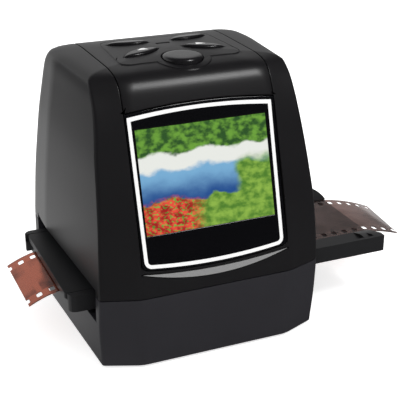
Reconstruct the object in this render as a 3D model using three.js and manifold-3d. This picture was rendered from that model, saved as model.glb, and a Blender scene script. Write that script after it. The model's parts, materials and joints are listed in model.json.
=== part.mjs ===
// Desktop 35 mm film scanner: tapered two-part housing, tilted screen, top keys,
// and a film carrier that slides through a slot in both sides.
// Millimetres, +Z up, front face towards -Y, the carrier slides along X.
import * as THREE from 'three';
import { mergeVertices } from 'three/addons/utils/BufferGeometryUtils.js';
import Module from 'manifold-3d';

const wasm = await Module();
wasm.setup();

// General clearances and finishes of edges
const gap = 0.3; // between pieces that seat on each other
const overrun = 20; // how far a cutting tool runs past what it cuts
const weld = 0.0001; // vertices closer than this are one
const arc_steps = 4; // facets on one rounded corner
const round_sides = 24; // facets on a round piece
const small_sides = 12; // facets on a small one

// Housing
const housing_width = 84; // across the front corners, at the widest height
const front_reach = 45.5; // from the optical axis to the front, at the parting line
const back_reach = 48;
const housing_height = 103.2;
const housing_wall = 2.2;
const floor_thickness = 2.5;
const base_height = 27; // height of the parting line
const side_bow = 2.5; // how far the sides swell behind the front corners
const back_draw = 1.2; // how far they come in again at the back corners
const front_corner_radius = 2.4;
const facet_radius = 12;
const bow_radius = 60;
const back_corner_radius = 8;
const facet_start_share = 0.68; // of the half width, where the front turns into its facet
const front_bow = 0.5;
const bow_place_share = 0.45; // of the back reach, where the sides are widest

// Cross sections from the underside to the shoulder: height, half width, front corner,
// front middle and back, as shares of the height, half width, front reach and back reach
const section_shares = [
  [0, 1.003, 0.846, 0.976, 0.986],
  [0.161, 1.022, 0.869, 0.989, 0.999],
  [0.262, 1.019, 0.885, 1, 1],
  [0.354, 1.01, 0.877, 0.98, 0.985],
  [0.489, 0.991, 0.85, 0.914, 0.958],
  [0.61, 0.968, 0.788, 0.838, 0.918],
  [0.717, 0.947, 0.715, 0.765, 0.875],
  [0.835, 0.915, 0.631, 0.686, 0.816],
  [0.891, 0.902, 0.572, 0.642, 0.775],
  [0.924, 0.897, 0.518, 0.613, 0.733],
  [0.945, 0.888, 0.472, 0.588, 0.687],
  [0.967, 0.862, 0.42, 0.542, 0.622],
  [0.981, 0.785, 0.35, 0.476, 0.553],
];
const crown_shares = [0.66, 0.33]; // rings of the crowned top, as shares of its last section

// Tilted screen, in its own plane: u across, v up the slope, w out of the face
const screen_tilt_degrees = 15.8;
const screen_reach_share = 0.75164; // of the front reach, where the display's middle lies
const screen_height_share = 0.6415; // of the housing's height
const display_width = 51.5;
const display_height = 40;
const display_thickness = 2.4;
const lens_half_width = 28;
const lens_top = 24; // at its corners
const lens_bottom = 30.2;
const lens_barrel = 1.7; // how far the top and bottom edges swell
const lens_thickness = 1.5;
const lens_corner_radius = 2.6;
const surround_margin = 3.2;
const surround_back = 2;
const surround_front = 4;
const trim_drop = 1.3; // the crescent's tips lie this far below the lens's corners
const trim_top_swell = 1.9;
const trim_bottom_swell = 4.4;
const trim_depth = 0.6; // behind the screen's plane
const trim_rise = 0.9; // in front of it
const trim_steps = 14;
const display_frame_width = 57;
const display_frame_height = 45.6;
const display_frame_thickness = 3.2;
const display_frame_bar = 8;
const main_board_width = 56;
const main_board_low = 22;
const main_board_high = 17;
const board_thickness = 1.6;
const chip_width = 14;
const chip_thickness = 1.4;

// Top cover strip and its keys
const cover_half_width = 28;
const cover_drop = 15.2; // the strip reaches this far below the top
const key_proud = 0.7;
const leaf_length = 15.8;
const leaf_width = 5.8;
const leaf_x = 12;
const front_leaf_share = 0.0352; // of the front reach
const rear_leaf_share = 0.2917; // of the back reach
const front_leaf_turn_degrees = 11;
const rear_leaf_turn_degrees = 23;
const leaf_steps = 10;
const round_key_share = 0.2901; // of the front reach
const round_key_radius = 8.2;
const round_key_proud = 1.5;
const round_key_edge = 1.1;
const key_flange = 0.9;
const key_flange_height = 1.4;
const key_drop = 7.6; // the flanges' undersides lie this far below the top
const stem_radius = 1.8;
const key_travel = 0.6;
const key_board_width = 50;
const key_board_front_share = 0.4396;
const key_board_back_share = 0.5;
const key_board_drop = 16.8;
const switch_size = 6;
const switch_height = 3.6;
const switch_body_height = 2.5;
const post_radius = 2.2;
const post_inset = 3.2;
const status_length = 4.6;
const status_width = 1.1;
const status_share = 0.1375; // of the back reach

// Slot through both sides
const slot_side_clearance = 6;
const slot_low_clearance = 2;
const slot_high_clearance = 4;

// Film carrier: a tray with a clipped lid, and the film between them
const tray_overhang = 8.6; // past the housing's front left corner
const tray_length = 130.2;
const tray_front_room = 15.5; // from its edge to the housing's front
const tray_back_room = 18;
const tray_low_z = 19;
const tray_thickness = 6.6;
const tray_corner_radius = 3;
const tab_length = 1.9; // thumb tab at the left end's back corner
const tab_width = 4.6;
const rail_width = 3;
const rim_width = 4.2;
const step_margin = 1.5;
const step_depth = 1.2;
const lid_recess_depth = 2.7;
const channel_depth = 1.2;
const film_width = 35;
const channel_clearance = 0.3;
const window_length = 36;
const window_width = 24;
const lid_length = 91.4;
const lid_lip = 0.8; // past the tray's left end
const lid_pad_height = 0.7;
const film_thickness = 0.25;
const perforation_pitch = 4.75;
const perforation_length = 2;
const perforation_width = 2.8;
const perforation_inset = 3.4;
const film_left_reach = 11.8; // past the tray's left end
const film_left_drop = 4.2;
const film_right_reach = 22; // past the tray's right end
const film_right_drop = 6.7;
const film_cut_skew = 7; // the right end is cut at a slant
const film_bend_steps = 10;

// Guides, light box and optics
const guide_end_margin = 5; // from the side walls' outer faces
const guide_wall = 3;
const guide_ledge = 3;
const guide_ledge_height = 3;
const guide_rise = 1.4; // above the tray's top
const spring_length = 26;
const spring_bow = 15; // length of the bowed middle
const spring_height = 4.6;
const spring_thickness = 0.6;
const spring_steps = 20;
const light_box_length = 50;
const light_box_side_room = 6.3; // to the guide rails' ledges
const light_box_wall = 1.6;
const diffuser_thickness = 1.4;
const diffuser_top_z = 16.8;
const light_board_margin = 1.2;
const led_radius = 2.4;
const led_height = 1.8;
const bridge_thickness = 2;
const bridge_length = 52;
const column_base_length = 46;
const column_base_width = 36;
const column_top_size = 26;
const column_drop = 39.9; // from the housing's top to the column's
const column_wall = 1.8;
const column_cap = 2.4;
const barrel_radius = 8;
const barrel_wall = 2;
const barrel_length = 16;
const barrel_flange = 1.4;
const glass_thickness = 2.6;
const glass_bulge = 0.9;
const sensor_board_size = 24;
const sensor_size = 9;
const sensor_height = 1.6;
const sensor_spacer = 3;

// Connectors at the back
const port_board_z = 46;
const port_board_width = 54;
const port_board_front_y = 20;
const port_board_back_room = 5; // to the housing's back
const port_shelf_depth = 7;
const port_shelf_height = 2.6;
const usb_x = -14;
const usb_width = 8;
const usb_height = 3.2;
const usb_depth = 7;
const usb_wall = 0.6;
const port_back_wall = 1.2;
const card_x = 11;
const card_width = 27;
const card_height = 3.4;
const card_depth = 18;
const card_slot_width = 24.6;
const card_slot_height = 2.5;
const port_recess = 0.5;

// Feet, bosses and screws
const foot_radius = 5;
const foot_height = 1; // proud of the underside
const foot_seat = 0.5;
const foot_side_margin = 10;
const foot_front_margin = 18.5;
const foot_back_margin = 21;
const boss_side_margin = 13;
const boss_front_margin = 7.5;
const boss_back_margin = 10;
const boss_radius = 3.6;
const boss_rise = 9; // above the parting line
const boss_rib = 1.6;
const screw_radius = 1.25;
const screw_head_radius = 2.6;
const screw_head_height = 1.8;
const screw_head_inset = 0.6;
const screw_engagement = 7;

// Worked out from the sizes above
const half_width = housing_width / 2;
const housing_depth = front_reach + back_reach;
const screen_tilt = THREE.MathUtils.degToRad(screen_tilt_degrees);
const screen_y = -front_reach * screen_reach_share;
const screen_z = housing_height * screen_height_share;
const cover_low_z = housing_height - cover_drop;
const key_low_z = housing_height - key_drop;
const key_board_z = housing_height - key_board_drop;
const front_leaf_y = -front_reach * front_leaf_share;
const rear_leaf_y = back_reach * rear_leaf_share;
const round_key_y = -front_reach * round_key_share;
const key_board_front_y = -front_reach * key_board_front_share;
const key_board_back_y = back_reach * key_board_back_share;
const status_y = back_reach * status_share;
const port_board_back_y = back_reach - port_board_back_room;
const tray_half_width = Math.min(front_reach - tray_front_room, back_reach - tray_back_room);
const tray_left_x = -half_width - tray_overhang;
const tray_right_x = tray_left_x + tray_length;
const tray_high_z = tray_low_z + tray_thickness;
const lid_left_x = tray_left_x - lid_lip;
const lid_right_x = lid_left_x + lid_length;
const slot_half_length = tray_half_width + slot_side_clearance;
const slot_low_z = tray_low_z - slot_low_clearance;
const slot_high_z = tray_high_z + slot_high_clearance;
const guide_half_length = half_width - guide_end_margin;
const lid_floor_z = tray_high_z - lid_recess_depth;
const channel_floor_z = lid_floor_z - channel_depth;
const film_z = channel_floor_z + gap + film_thickness / 2;
const channel_half_width = film_width / 2 + channel_clearance;
const guide_inner_y = tray_half_width + gap;
const guide_outer_y = guide_inner_y + guide_wall;
const light_box_half_width = guide_inner_y - guide_ledge - light_box_side_room;
const guide_top_z = tray_high_z + guide_rise;
const bridge_low_z = guide_top_z + gap;
const column_low_z = bridge_low_z + bridge_thickness;
const column_high_z = housing_height - column_drop;

function paint(color, roughness, metalness) {
  return new THREE.MeshStandardMaterial({ color, roughness, metalness });
}

const black_plastic = paint(0x1c1b1d, 0.45, 0);
const dark_plastic = paint(0x2a292d, 0.5, 0);
const gloss_black = paint(0x0b0b0d, 0.08, 0);
const display_glass = paint(0x3d6b3a, 0.2, 0);
const film_brown = paint(0x7a4034, 0.3, 0);
const rubber = paint(0x151515, 0.9, 0);
const board_green = paint(0x1f5a34, 0.55, 0);
const metal = paint(0xb4b6ba, 0.3, 1);
const milk = paint(0xf0f0ea, 0.5, 0);
const silver = paint(0x8f8f8f, 0.35, 0.3);
const clear_glass = paint(0xcfd8e0, 0.05, 0);
const chip_black = paint(0x141416, 0.6, 0);

function to_solid(geometry) {
  geometry.deleteAttribute('normal');
  geometry.deleteAttribute('uv');
  const merged = mergeVertices(geometry, weld);
  const vertProperties = Float32Array.from(merged.attributes.position.array);
  const triVerts = Uint32Array.from(merged.index.array);
  return new wasm.Manifold(new wasm.Mesh({ numProp: 3, vertProperties, triVerts }));
}

function to_mesh(name, solid, material) {
  const made = solid.getMesh();
  const geometry = new THREE.BufferGeometry();
  geometry.setAttribute('position', new THREE.BufferAttribute(made.vertProperties, 3));
  geometry.setIndex(new THREE.BufferAttribute(made.triVerts, 1));
  geometry.computeVertexNormals();
  const mesh = new THREE.Mesh(geometry, material);
  mesh.name = name;
  return mesh;
}

// A block between two opposite corners
function block(low, high) {
  const size = high.map((value, index) => value - low[index]);
  const geometry = new THREE.BoxGeometry(size[0], size[1], size[2]);
  geometry.translate(low[0] + size[0] / 2, low[1] + size[1] / 2, low[2] + size[2] / 2);
  return to_solid(geometry);
}

// An upright cylinder between two heights
function post(radius, low_z, high_z, x, y, sides = round_sides) {
  const geometry = new THREE.CylinderGeometry(radius, radius, high_z - low_z, sides);
  geometry.rotateX(Math.PI / 2);
  geometry.translate(x, y, (low_z + high_z) / 2);
  return to_solid(geometry);
}

// A revolved solid about an upright axis, its profile given as radius and height pairs
function turned(profile, x, y, sides = round_sides) {
  const points = profile.map(([radius, height]) => new THREE.Vector2(radius, height));
  const geometry = new THREE.LatheGeometry(points, sides);
  geometry.rotateX(Math.PI / 2);
  geometry.translate(x, y, 0);
  return to_solid(geometry);
}

// An outline in X and Y, extruded between two heights
function prism(points, low_z, high_z) {
  const shape = new THREE.Shape(points.map(([x, y]) => new THREE.Vector2(x, y)));
  const geometry = new THREE.ExtrudeGeometry(shape, { depth: high_z - low_z, bevelEnabled: false });
  geometry.translate(0, 0, low_z);
  return to_solid(geometry);
}

// An outline in Y and Z, extruded along X
function long_prism(points, low_x, high_x) {
  const shape = new THREE.Shape(points.map(([y, z]) => new THREE.Vector2(y, z)));
  const geometry = new THREE.ExtrudeGeometry(shape, { depth: high_x - low_x, bevelEnabled: false });
  const turn = new THREE.Matrix4().makeBasis(
    new THREE.Vector3(0, 1, 0),
    new THREE.Vector3(0, 0, 1),
    new THREE.Vector3(1, 0, 0),
  );
  geometry.applyMatrix4(turn);
  geometry.translate(low_x, 0, 0);
  return to_solid(geometry);
}

// An outline in X and Z, extruded along Y
function wide_prism(points, low_y, high_y) {
  const shape = new THREE.Shape(points.map(([x, z]) => new THREE.Vector2(x, -z)));
  const geometry = new THREE.ExtrudeGeometry(shape, { depth: high_y - low_y, bevelEnabled: false });
  geometry.rotateX(-Math.PI / 2);
  geometry.translate(0, low_y, 0);
  return to_solid(geometry);
}

// Replaces each corner of a closed outline by an arc of its own radius
function rounded(corners) {
  const points = [];
  corners.forEach(([x, y, radius], index) => {
    const here = new THREE.Vector2(x, y);
    const before = corners[(index + corners.length - 1) % corners.length];
    const after = corners[(index + 1) % corners.length];
    const back = new THREE.Vector2(before[0], before[1]).sub(here);
    const ahead = new THREE.Vector2(after[0], after[1]).sub(here);
    const half_angle = Math.acos(back.dot(ahead) / (back.length() * ahead.length())) / 2;
    const room = Math.min(back.length(), ahead.length()) / 2;
    const reach = Math.min(radius / Math.tan(half_angle), room);
    const start = here.clone().addScaledVector(back.normalize(), reach);
    const end = here.clone().addScaledVector(ahead.normalize(), reach);
    for (let step = 0; step <= arc_steps; step += 1) {
      const share = step / arc_steps;
      const first = start.clone().lerp(here, share);
      const second = here.clone().lerp(end, share);
      const place = first.lerp(second, share);
      points.push([place.x, place.y]);
    }
  });
  return points;
}

// One cross section of the housing, drawn in by an inset
function housing_section(shares, inset) {
  const corner_x = half_width * shares[1] - inset;
  const corner_y = front_reach * shares[2] - inset;
  const middle_y = front_reach * shares[3] - inset;
  const back_y = back_reach * shares[4] - inset;
  const facet_x = corner_x * facet_start_share;
  const corner_radius = Math.max(front_corner_radius - inset, gap);
  const right = [
    [facet_x, front_bow - middle_y, facet_radius],
    [corner_x, -corner_y, corner_radius],
    [corner_x + side_bow, back_y * bow_place_share, bow_radius],
    [corner_x + side_bow - back_draw, back_y, back_corner_radius - inset],
  ];
  const left = right.map(([x, y, radius]) => [-x, y, radius]).reverse();
  return rounded([...right, ...left]);
}

// The housing's closed outer form, or its cavity where an inset is given
function housing_form(inset) {
  const squeeze = (housing_height - inset) / housing_height;
  const rings = section_shares.map((shares) => {
    const z = housing_height * shares[0] * squeeze;
    return housing_section(shares, inset).map(([x, y]) => new THREE.Vector3(x, y, z));
  });
  const last = rings[rings.length - 1];
  const centre = new THREE.Vector3();
  last.forEach((point) => centre.addScaledVector(point, 1 / last.length));
  const peak = housing_height * squeeze;
  crown_shares.forEach((share) => {
    rings.push(last.map((point) => {
      const place = centre.clone().lerp(point, share);
      place.z = peak - (peak - point.z) * share * share;
      return place;
    }));
  });
  const count = last.length;
  const points = [...rings.flat(), new THREE.Vector3(0, 0, 0), new THREE.Vector3(centre.x, centre.y, peak)];
  const bottom = rings.length * count;
  const faces = [];
  for (let side = 0; side < count; side += 1) {
    const next = (side + 1) % count;
    faces.push(bottom, next, side);
    for (let level = 0; level + 1 < rings.length; level += 1) {
      const low = level * count;
      const high = low + count;
      faces.push(low + side, low + next, high + next);
      faces.push(low + side, high + next, high + side);
    }
    const top = (rings.length - 1) * count;
    faces.push(top + side, top + next, bottom + 1);
  }
  const geometry = new THREE.BufferGeometry();
  const places = points.flatMap((point) => point.toArray());
  geometry.setAttribute('position', new THREE.Float32BufferAttribute(places, 3));
  geometry.setIndex(faces);
  return to_solid(geometry);
}

// Everything between two heights
function layer(low_z, high_z) {
  const reach = housing_width + housing_depth;
  return block([-reach, -reach, low_z], [reach, reach, high_z]);
}

const outer_form = housing_form(0);
const middle_form = housing_form(housing_wall / 2); // ribs and shelves end inside the wall
const cavity_form = housing_form(housing_wall);

// Moves a solid made in the screen's plane to its place: X across, Y up the slope, Z outwards
function on_screen(solid) {
  const across = new THREE.Vector3(1, 0, 0);
  const up = new THREE.Vector3(0, Math.sin(screen_tilt), Math.cos(screen_tilt));
  const out = new THREE.Vector3(0, -Math.cos(screen_tilt), Math.sin(screen_tilt));
  const place = new THREE.Matrix4().makeBasis(across, up, out);
  place.setPosition(0, screen_y, screen_z);
  return solid.transform(place.elements);
}

function centred_block(width, height, low_w, high_w) {
  return block([-width / 2, -height / 2, low_w], [width / 2, height / 2, high_w]);
}

// The lens outline: straight sides, and a top and bottom edge that swell
function lens_outline(grow) {
  const points = [];
  const x = lens_half_width + grow;
  const radius = lens_corner_radius + grow;
  const steps = film_bend_steps;
  const swell = (share) => lens_barrel * (1 - share * share);
  for (let step = 0; step <= steps; step += 1) {
    const share = 2 * (step / steps) - 1;
    const reach = x - radius;
    points.push([reach * share, -(lens_bottom + grow) - swell(share)]);
  }
  for (let step = 1; step <= arc_steps; step += 1) {
    const angle = (Math.PI / 2) * (step / arc_steps);
    points.push([
      x - radius + radius * Math.sin(angle),
      -(lens_bottom + grow) + radius - radius * Math.cos(angle),
    ]);
  }
  for (let step = 0; step <= steps; step += 1) {
    const share = 1 - 2 * (step / steps);
    points.push([x * share, lens_top + grow + swell(share)]);
  }
  for (let step = arc_steps; step >= 1; step -= 1) {
    const angle = (Math.PI / 2) * (step / arc_steps);
    points.push([
      -(x - radius + radius * Math.sin(angle)),
      -(lens_bottom + grow) + radius - radius * Math.cos(angle),
    ]);
  }
  return points;
}

// Pieces of the carrier's slot that both shells share
function slot_cut() {
  const reach = housing_width;
  return block([-reach, -slot_half_length, slot_low_z], [reach, slot_half_length, slot_high_z]);
}

// The recesses for the lens and the crescent below it, open to the front
function screen_recess() {
  const lens = prism(lens_outline(gap), 0, overrun);
  return on_screen(lens.add(prism(trim_outline(gap), -trim_depth - gap, overrun)));
}

// Four places, mirrored across the middle, a margin in from each edge
function four_places(side_margin, front_margin, back_margin) {
  const ends = [front_margin - front_reach, back_reach - back_margin];
  return [-1, 1].flatMap((side) => ends.map((y) => [side * (half_width - side_margin), y]));
}

function boss_places() {
  return four_places(boss_side_margin, boss_front_margin, boss_back_margin);
}

// The rib that ties a screw boss to the wall in front of it or behind it
function boss_rib_between(low_z, high_z, x, y) {
  const wall_y = Math.sign(y) * housing_depth;
  const low = [x - boss_rib / 2, Math.min(y, wall_y), low_z];
  const high = [x + boss_rib / 2, Math.max(y, wall_y), high_z];
  return block(low, high).intersect(middle_form);
}

function base_shell() {
  let shell = outer_form.intersect(layer(-overrun, base_height));
  shell = shell.subtract(cavity_form.intersect(layer(floor_thickness, base_height + overrun)));
  shell = shell.subtract(slot_cut()).subtract(screen_recess());
  const inside_floor = floor_thickness / 2;
  boss_places().forEach(([x, y]) => {
    shell = shell.add(post(boss_radius, inside_floor, base_height, x, y));
    shell = shell.add(boss_rib_between(inside_floor, base_height, x, y));
    shell = shell.subtract(post(screw_radius + gap, -overrun, base_height + overrun, x, y));
    const seat_z = screw_head_inset + screw_head_height + gap;
    shell = shell.subtract(post(screw_head_radius + gap, -overrun, seat_z, x, y));
  });
  foot_places().forEach(([x, y]) => {
    shell = shell.subtract(post(foot_radius + gap, -overrun, foot_seat, x, y));
  });
  return to_mesh('base_shell', shell, dark_plastic);
}

function foot_places() {
  return four_places(foot_side_margin, foot_front_margin, foot_back_margin);
}

function foot(name, x, y) {
  return to_mesh(name, post(foot_radius, -foot_height, foot_seat - gap, x, y), rubber);
}

function screw(name, x, y) {
  const head_z = screw_head_inset + screw_head_height;
  const head = post(screw_head_radius, screw_head_inset, head_z, x, y);
  const tip_z = base_height + screw_engagement;
  const shank = post(screw_radius, screw_head_inset, tip_z, x, y, small_sides);
  return to_mesh(name, head.add(shank), metal);
}

// The hollow upper body, thickened round the screen, before the cover strip is parted from it
function upper_body() {
  const low = -(lens_bottom + lens_barrel + surround_margin);
  const high = lens_top + lens_barrel + surround_margin;
  const reach = lens_half_width + surround_margin;
  const surround = on_screen(block([-reach, low, -surround_back], [reach, high, surround_front]));
  let body = outer_form.subtract(cavity_form.subtract(surround));
  body = body.subtract(screen_recess());
  const window_width_u = display_width + 2 * gap;
  const window_height_v = display_height + 2 * gap;
  body = body.subtract(on_screen(centred_block(window_width_u, window_height_v, -overrun / 2, overrun)));
  body = body.intersect(layer(base_height + gap, housing_height + overrun));
  return body;
}

// The crescent below the lens: two arcs that meet in its tips
function trim_outline(grow) {
  const tip = -(lens_bottom + trim_drop);
  const half = lens_half_width + grow;
  const top = [];
  const bottom = [];
  for (let step = 0; step <= trim_steps; step += 1) {
    const share = 2 * (step / trim_steps) - 1;
    const bow = 1 - share * share;
    top.push([half * share, tip - trim_top_swell * bow + grow]);
    bottom.push([half * share, tip - trim_bottom_swell * bow - grow]);
  }
  return grow > 0 ? [...bottom, ...top.reverse()] : [...bottom, ...top.reverse().slice(1, -1)];
}

function upper_shell(body) {
  const strip = cover_half_width + gap;
  const top_z = housing_height + overrun;
  let shell = body.subtract(block([-strip, -housing_depth, cover_low_z], [strip, housing_depth, top_z]));
  shell = shell.subtract(slot_cut());
  const boss_top = base_height + boss_rise;
  boss_places().forEach(([x, y]) => {
    shell = shell.add(post(boss_radius - gap, base_height + gap, boss_top, x, y));
    shell = shell.add(boss_rib_between(base_height + gap, boss_top, x, y));
    const bore_top = base_height + screw_engagement + gap;
    shell = shell.subtract(post(screw_radius + gap, 0, bore_top, x, y));
  });
  const shelf_top = port_board_z - gap;
  const shelf = block(
    [-port_board_width / 2, port_board_back_y - port_shelf_depth / 2, shelf_top - port_shelf_height],
    [port_board_width / 2, housing_depth, shelf_top],
  );
  shell = shell.add(shelf.intersect(middle_form));
  shell = shell.subtract(port_cuts());
  return to_mesh('upper_shell', shell, black_plastic);
}

function port_cuts() {
  const low = port_board_z + board_thickness;
  const usb = block(
    [usb_x - usb_width / 2 - gap, port_board_back_y - usb_depth, low],
    [usb_x + usb_width / 2 + gap, housing_depth, low + usb_height + 2 * gap],
  );
  const card = block(
    [card_x - card_width / 2 - gap, port_board_back_y - card_depth, low],
    [card_x + card_width / 2 + gap, housing_depth, low + card_height + 2 * gap],
  );
  return usb.add(card);
}

// A key's outline: two arcs that meet in a point at each end, turned about its middle
function leaf_outline(grow, x, y, turn_degrees) {
  const half = leaf_length / 2 + grow;
  const rise = leaf_width / 2 + grow;
  const turn = THREE.MathUtils.degToRad(turn_degrees);
  const arc = (share) => rise * (1 - share * share);
  const points = [];
  for (let step = 0; step < leaf_steps; step += 1) {
    const share = 2 * (step / leaf_steps) - 1;
    points.push([half * share, -arc(share)]);
  }
  for (let step = 0; step < leaf_steps; step += 1) {
    const share = 1 - 2 * (step / leaf_steps);
    points.push([half * share, arc(share)]);
  }
  return points.map(([u, v]) => [
    x + u * Math.cos(turn) - v * Math.sin(turn),
    y + u * Math.sin(turn) + v * Math.cos(turn),
  ]);
}

const leaf_keys = [
  ['key_front_left', -leaf_x, front_leaf_y, front_leaf_turn_degrees],
  ['key_front_right', leaf_x, front_leaf_y, -front_leaf_turn_degrees],
  ['key_rear_left', -leaf_x, rear_leaf_y, -rear_leaf_turn_degrees],
  ['key_rear_right', leaf_x, rear_leaf_y, rear_leaf_turn_degrees],
];

function front_cover(body) {
  let cover = body.intersect(block(
    [-cover_half_width, -housing_depth, cover_low_z + gap],
    [cover_half_width, housing_depth, housing_height + overrun],
  ));
  const board_top = key_board_z + board_thickness;
  const post_x = key_board_width / 2 - post_inset;
  [key_board_front_y + post_inset, key_board_back_y - post_inset].forEach((y) => {
    [-post_x, post_x].forEach((x) => {
      const support = post(post_radius, board_top + gap, housing_height, x, y, small_sides);
      cover = cover.add(support.intersect(outer_form));
    });
  });
  leaf_keys.forEach(([, x, y, turn]) => {
    cover = cover.subtract(prism(leaf_outline(gap, x, y, turn), cover_low_z, housing_height + overrun));
  });
  const hole_radius = round_key_radius + gap;
  cover = cover.subtract(post(hole_radius, cover_low_z, housing_height + overrun, 0, round_key_y));
  cover = cover.subtract(block(
    [-status_length / 2 - gap, status_y - status_width / 2 - gap, cover_low_z],
    [status_length / 2 + gap, status_y + status_width / 2 + gap, housing_height + overrun],
  ));
  return to_mesh('front_cover', cover, black_plastic);
}

function stem_low_z() {
  return key_board_z + board_thickness + gap + switch_height + key_travel + gap;
}

// A leaf key follows the crowned top, a little proud of it
function leaf_key(name, x, y, turn) {
  const raised = outer_form.translate([0, 0, key_proud]);
  const cap = prism(leaf_outline(0, x, y, turn), key_low_z, housing_height + overrun).intersect(raised);
  const flange_high = key_low_z + key_flange_height;
  const flange = prism(leaf_outline(key_flange, x, y, turn), key_low_z, flange_high);
  const stem = post(stem_radius, stem_low_z(), flange_high, x, y, small_sides);
  return to_mesh(name, cap.add(flange).add(stem), black_plastic);
}

// The large round key has a domed top
function round_key() {
  const top = housing_height + round_key_proud - round_key_edge;
  const radius = round_key_radius;
  const flange_high = key_low_z + key_flange_height;
  const dome = turned([
    [0, key_low_z],
    [radius + key_flange, key_low_z],
    [radius + key_flange, flange_high],
    [radius, flange_high],
    [radius, top - round_key_edge * 2],
    [radius - round_key_edge * 0.3, top - round_key_edge],
    [radius - round_key_edge, top - round_key_edge * 0.4],
    [radius * 0.6, top],
    [0, top + round_key_edge * 0.2],
  ], 0, round_key_y);
  const stem = post(stem_radius, stem_low_z(), flange_high, 0, round_key_y, small_sides);
  return to_mesh('key_scan', dome.add(stem), black_plastic);
}

function key_board() {
  const half = key_board_width / 2;
  const board = block(
    [-half, key_board_front_y, key_board_z],
    [half, key_board_back_y, key_board_z + board_thickness],
  );
  return to_mesh('key_board', board, board_green);
}

function tact_switch(name, x, y) {
  const low = key_board_z + board_thickness + gap;
  const half = switch_size / 2;
  const body_top = low + switch_body_height;
  const body = block([x - half, y - half, low], [x + half, y + half, body_top]);
  const plunger = post(stem_radius, low, low + switch_height, x, y, small_sides);
  return to_mesh(name, body.add(plunger), chip_black);
}

function status_light() {
  const low = key_board_z + board_thickness + gap;
  const pipe = block(
    [-status_length / 2, status_y - status_width / 2, low],
    [status_length / 2, status_y + status_width / 2, housing_height + overrun],
  );
  return to_mesh('status_light', pipe.intersect(outer_form), gloss_black);
}

function screen_pieces() {
  const lens = prism(lens_outline(0), gap, gap + lens_thickness);
  const trim = prism(trim_outline(0), -trim_depth, trim_rise);
  const display = centred_block(display_width, display_height, -display_thickness, 0);
  const frame_front = -surround_back - gap;
  const frame_back = frame_front - display_frame_thickness;
  let frame = centred_block(display_frame_width, display_frame_height, frame_back, frame_front);
  const seat_back = -display_thickness - gap;
  const seat_width = display_width + 2 * gap;
  const seat_height = display_height + 2 * gap;
  frame = frame.subtract(centred_block(seat_width, seat_height, seat_back, overrun));
  const clear_width = display_width - 2 * display_frame_bar;
  const clear_height = display_height - 2 * display_frame_bar;
  frame = frame.subtract(centred_block(clear_width, clear_height, -overrun, overrun));
  const board_front = frame_back - gap;
  const board_back = board_front - board_thickness;
  const board = block(
    [-main_board_width / 2, -main_board_low, board_back],
    [main_board_width / 2, main_board_high, board_front],
  );
  const chip_back = board_back - gap - chip_thickness;
  const chip = centred_block(chip_width, chip_width, chip_back, board_back - gap);
  return [
    to_mesh('screen_lens', on_screen(lens), gloss_black),
    to_mesh('screen_trim', on_screen(trim), silver),
    to_mesh('display_panel', on_screen(display), display_glass),
    to_mesh('display_frame', on_screen(frame), dark_plastic),
    to_mesh('main_board', on_screen(board), board_green),
    to_mesh('image_chip', on_screen(chip), chip_black),
  ];
}

// Tray: side rails, a stepped recess for the lid, a film channel and a scan window
function film_tray() {
  const radius = tray_corner_radius;
  const outline = rounded([
    [tray_left_x, -tray_half_width, radius],
    [tray_right_x, -tray_half_width, gap],
    [tray_right_x, tray_half_width, gap],
    [tray_left_x - tab_length, tray_half_width, radius / 2],
    [tray_left_x - tab_length, tray_half_width - tab_width, gap],
    [tray_left_x, tray_half_width - tab_width, gap],
  ]);
  let tray = prism(outline, tray_low_z, tray_high_z);
  const recess_y = tray_half_width - rail_width;
  const recess_right = tray_right_x - rim_width;
  const left = tray_left_x - overrun;
  tray = tray.subtract(block(
    [lid_right_x, -recess_y - step_margin, tray_high_z - step_depth],
    [recess_right, recess_y + step_margin, tray_high_z + overrun],
  ));
  tray = tray.subtract(block(
    [left, -recess_y, lid_floor_z],
    [recess_right - step_margin * 2, recess_y, tray_high_z + overrun],
  ));
  tray = tray.subtract(block(
    [left, -channel_half_width, channel_floor_z],
    [tray_right_x + overrun, channel_half_width, tray_high_z + overrun],
  ));
  tray = tray.subtract(exit_saddle(recess_y));
  const half_length = window_length / 2;
  const half_window = window_width / 2;
  tray = tray.subtract(block([-half_length, -half_window, 0], [half_length, half_window, tray_high_z]));
  return to_mesh('film_tray', tray, black_plastic);
}

// The right rim slopes down on both sides of the film
function exit_saddle(recess_y) {
  const low_z = lid_floor_z;
  const high_z = tray_high_z;
  const outline = [
    [-channel_half_width, low_z],
    [channel_half_width, low_z],
    [recess_y, high_z],
    [recess_y, high_z + overrun],
    [-recess_y, high_z + overrun],
    [-recess_y, high_z],
  ];
  return long_prism(outline, tray_right_x - rim_width * 2, tray_right_x + overrun);
}

function film_lid() {
  const half = tray_half_width - rail_width - gap;
  const low_z = lid_floor_z + gap;
  let lid = prism(rounded([
    [lid_left_x, -half, tray_corner_radius / 2],
    [lid_right_x, -half, gap],
    [lid_right_x, half, gap],
    [lid_left_x, half, tray_corner_radius / 2],
  ]), low_z, tray_high_z);
  const pad_half = channel_half_width - gap;
  lid = lid.add(block([tray_left_x, -pad_half, low_z - lid_pad_height], [lid_right_x, pad_half, low_z]));
  const half_length = window_length / 2;
  const half_window = window_width / 2;
  const above = tray_high_z + overrun;
  lid = lid.subtract(block([-half_length, -half_window, 0], [half_length, half_window, above]));
  return to_mesh('film_lid', lid, black_plastic);
}

// The film's side view: level in the channel, drooping where it hangs free
function film_height(x) {
  if (x < tray_left_x) {
    const share = (tray_left_x - x) / film_left_reach;
    return film_z - film_left_drop * share * (1 + share) / 2;
  }
  if (x > tray_right_x) {
    const share = (x - tray_right_x) / film_right_reach;
    return film_z - film_right_drop * share * (1 + share) / 2;
  }
  return film_z;
}

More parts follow.
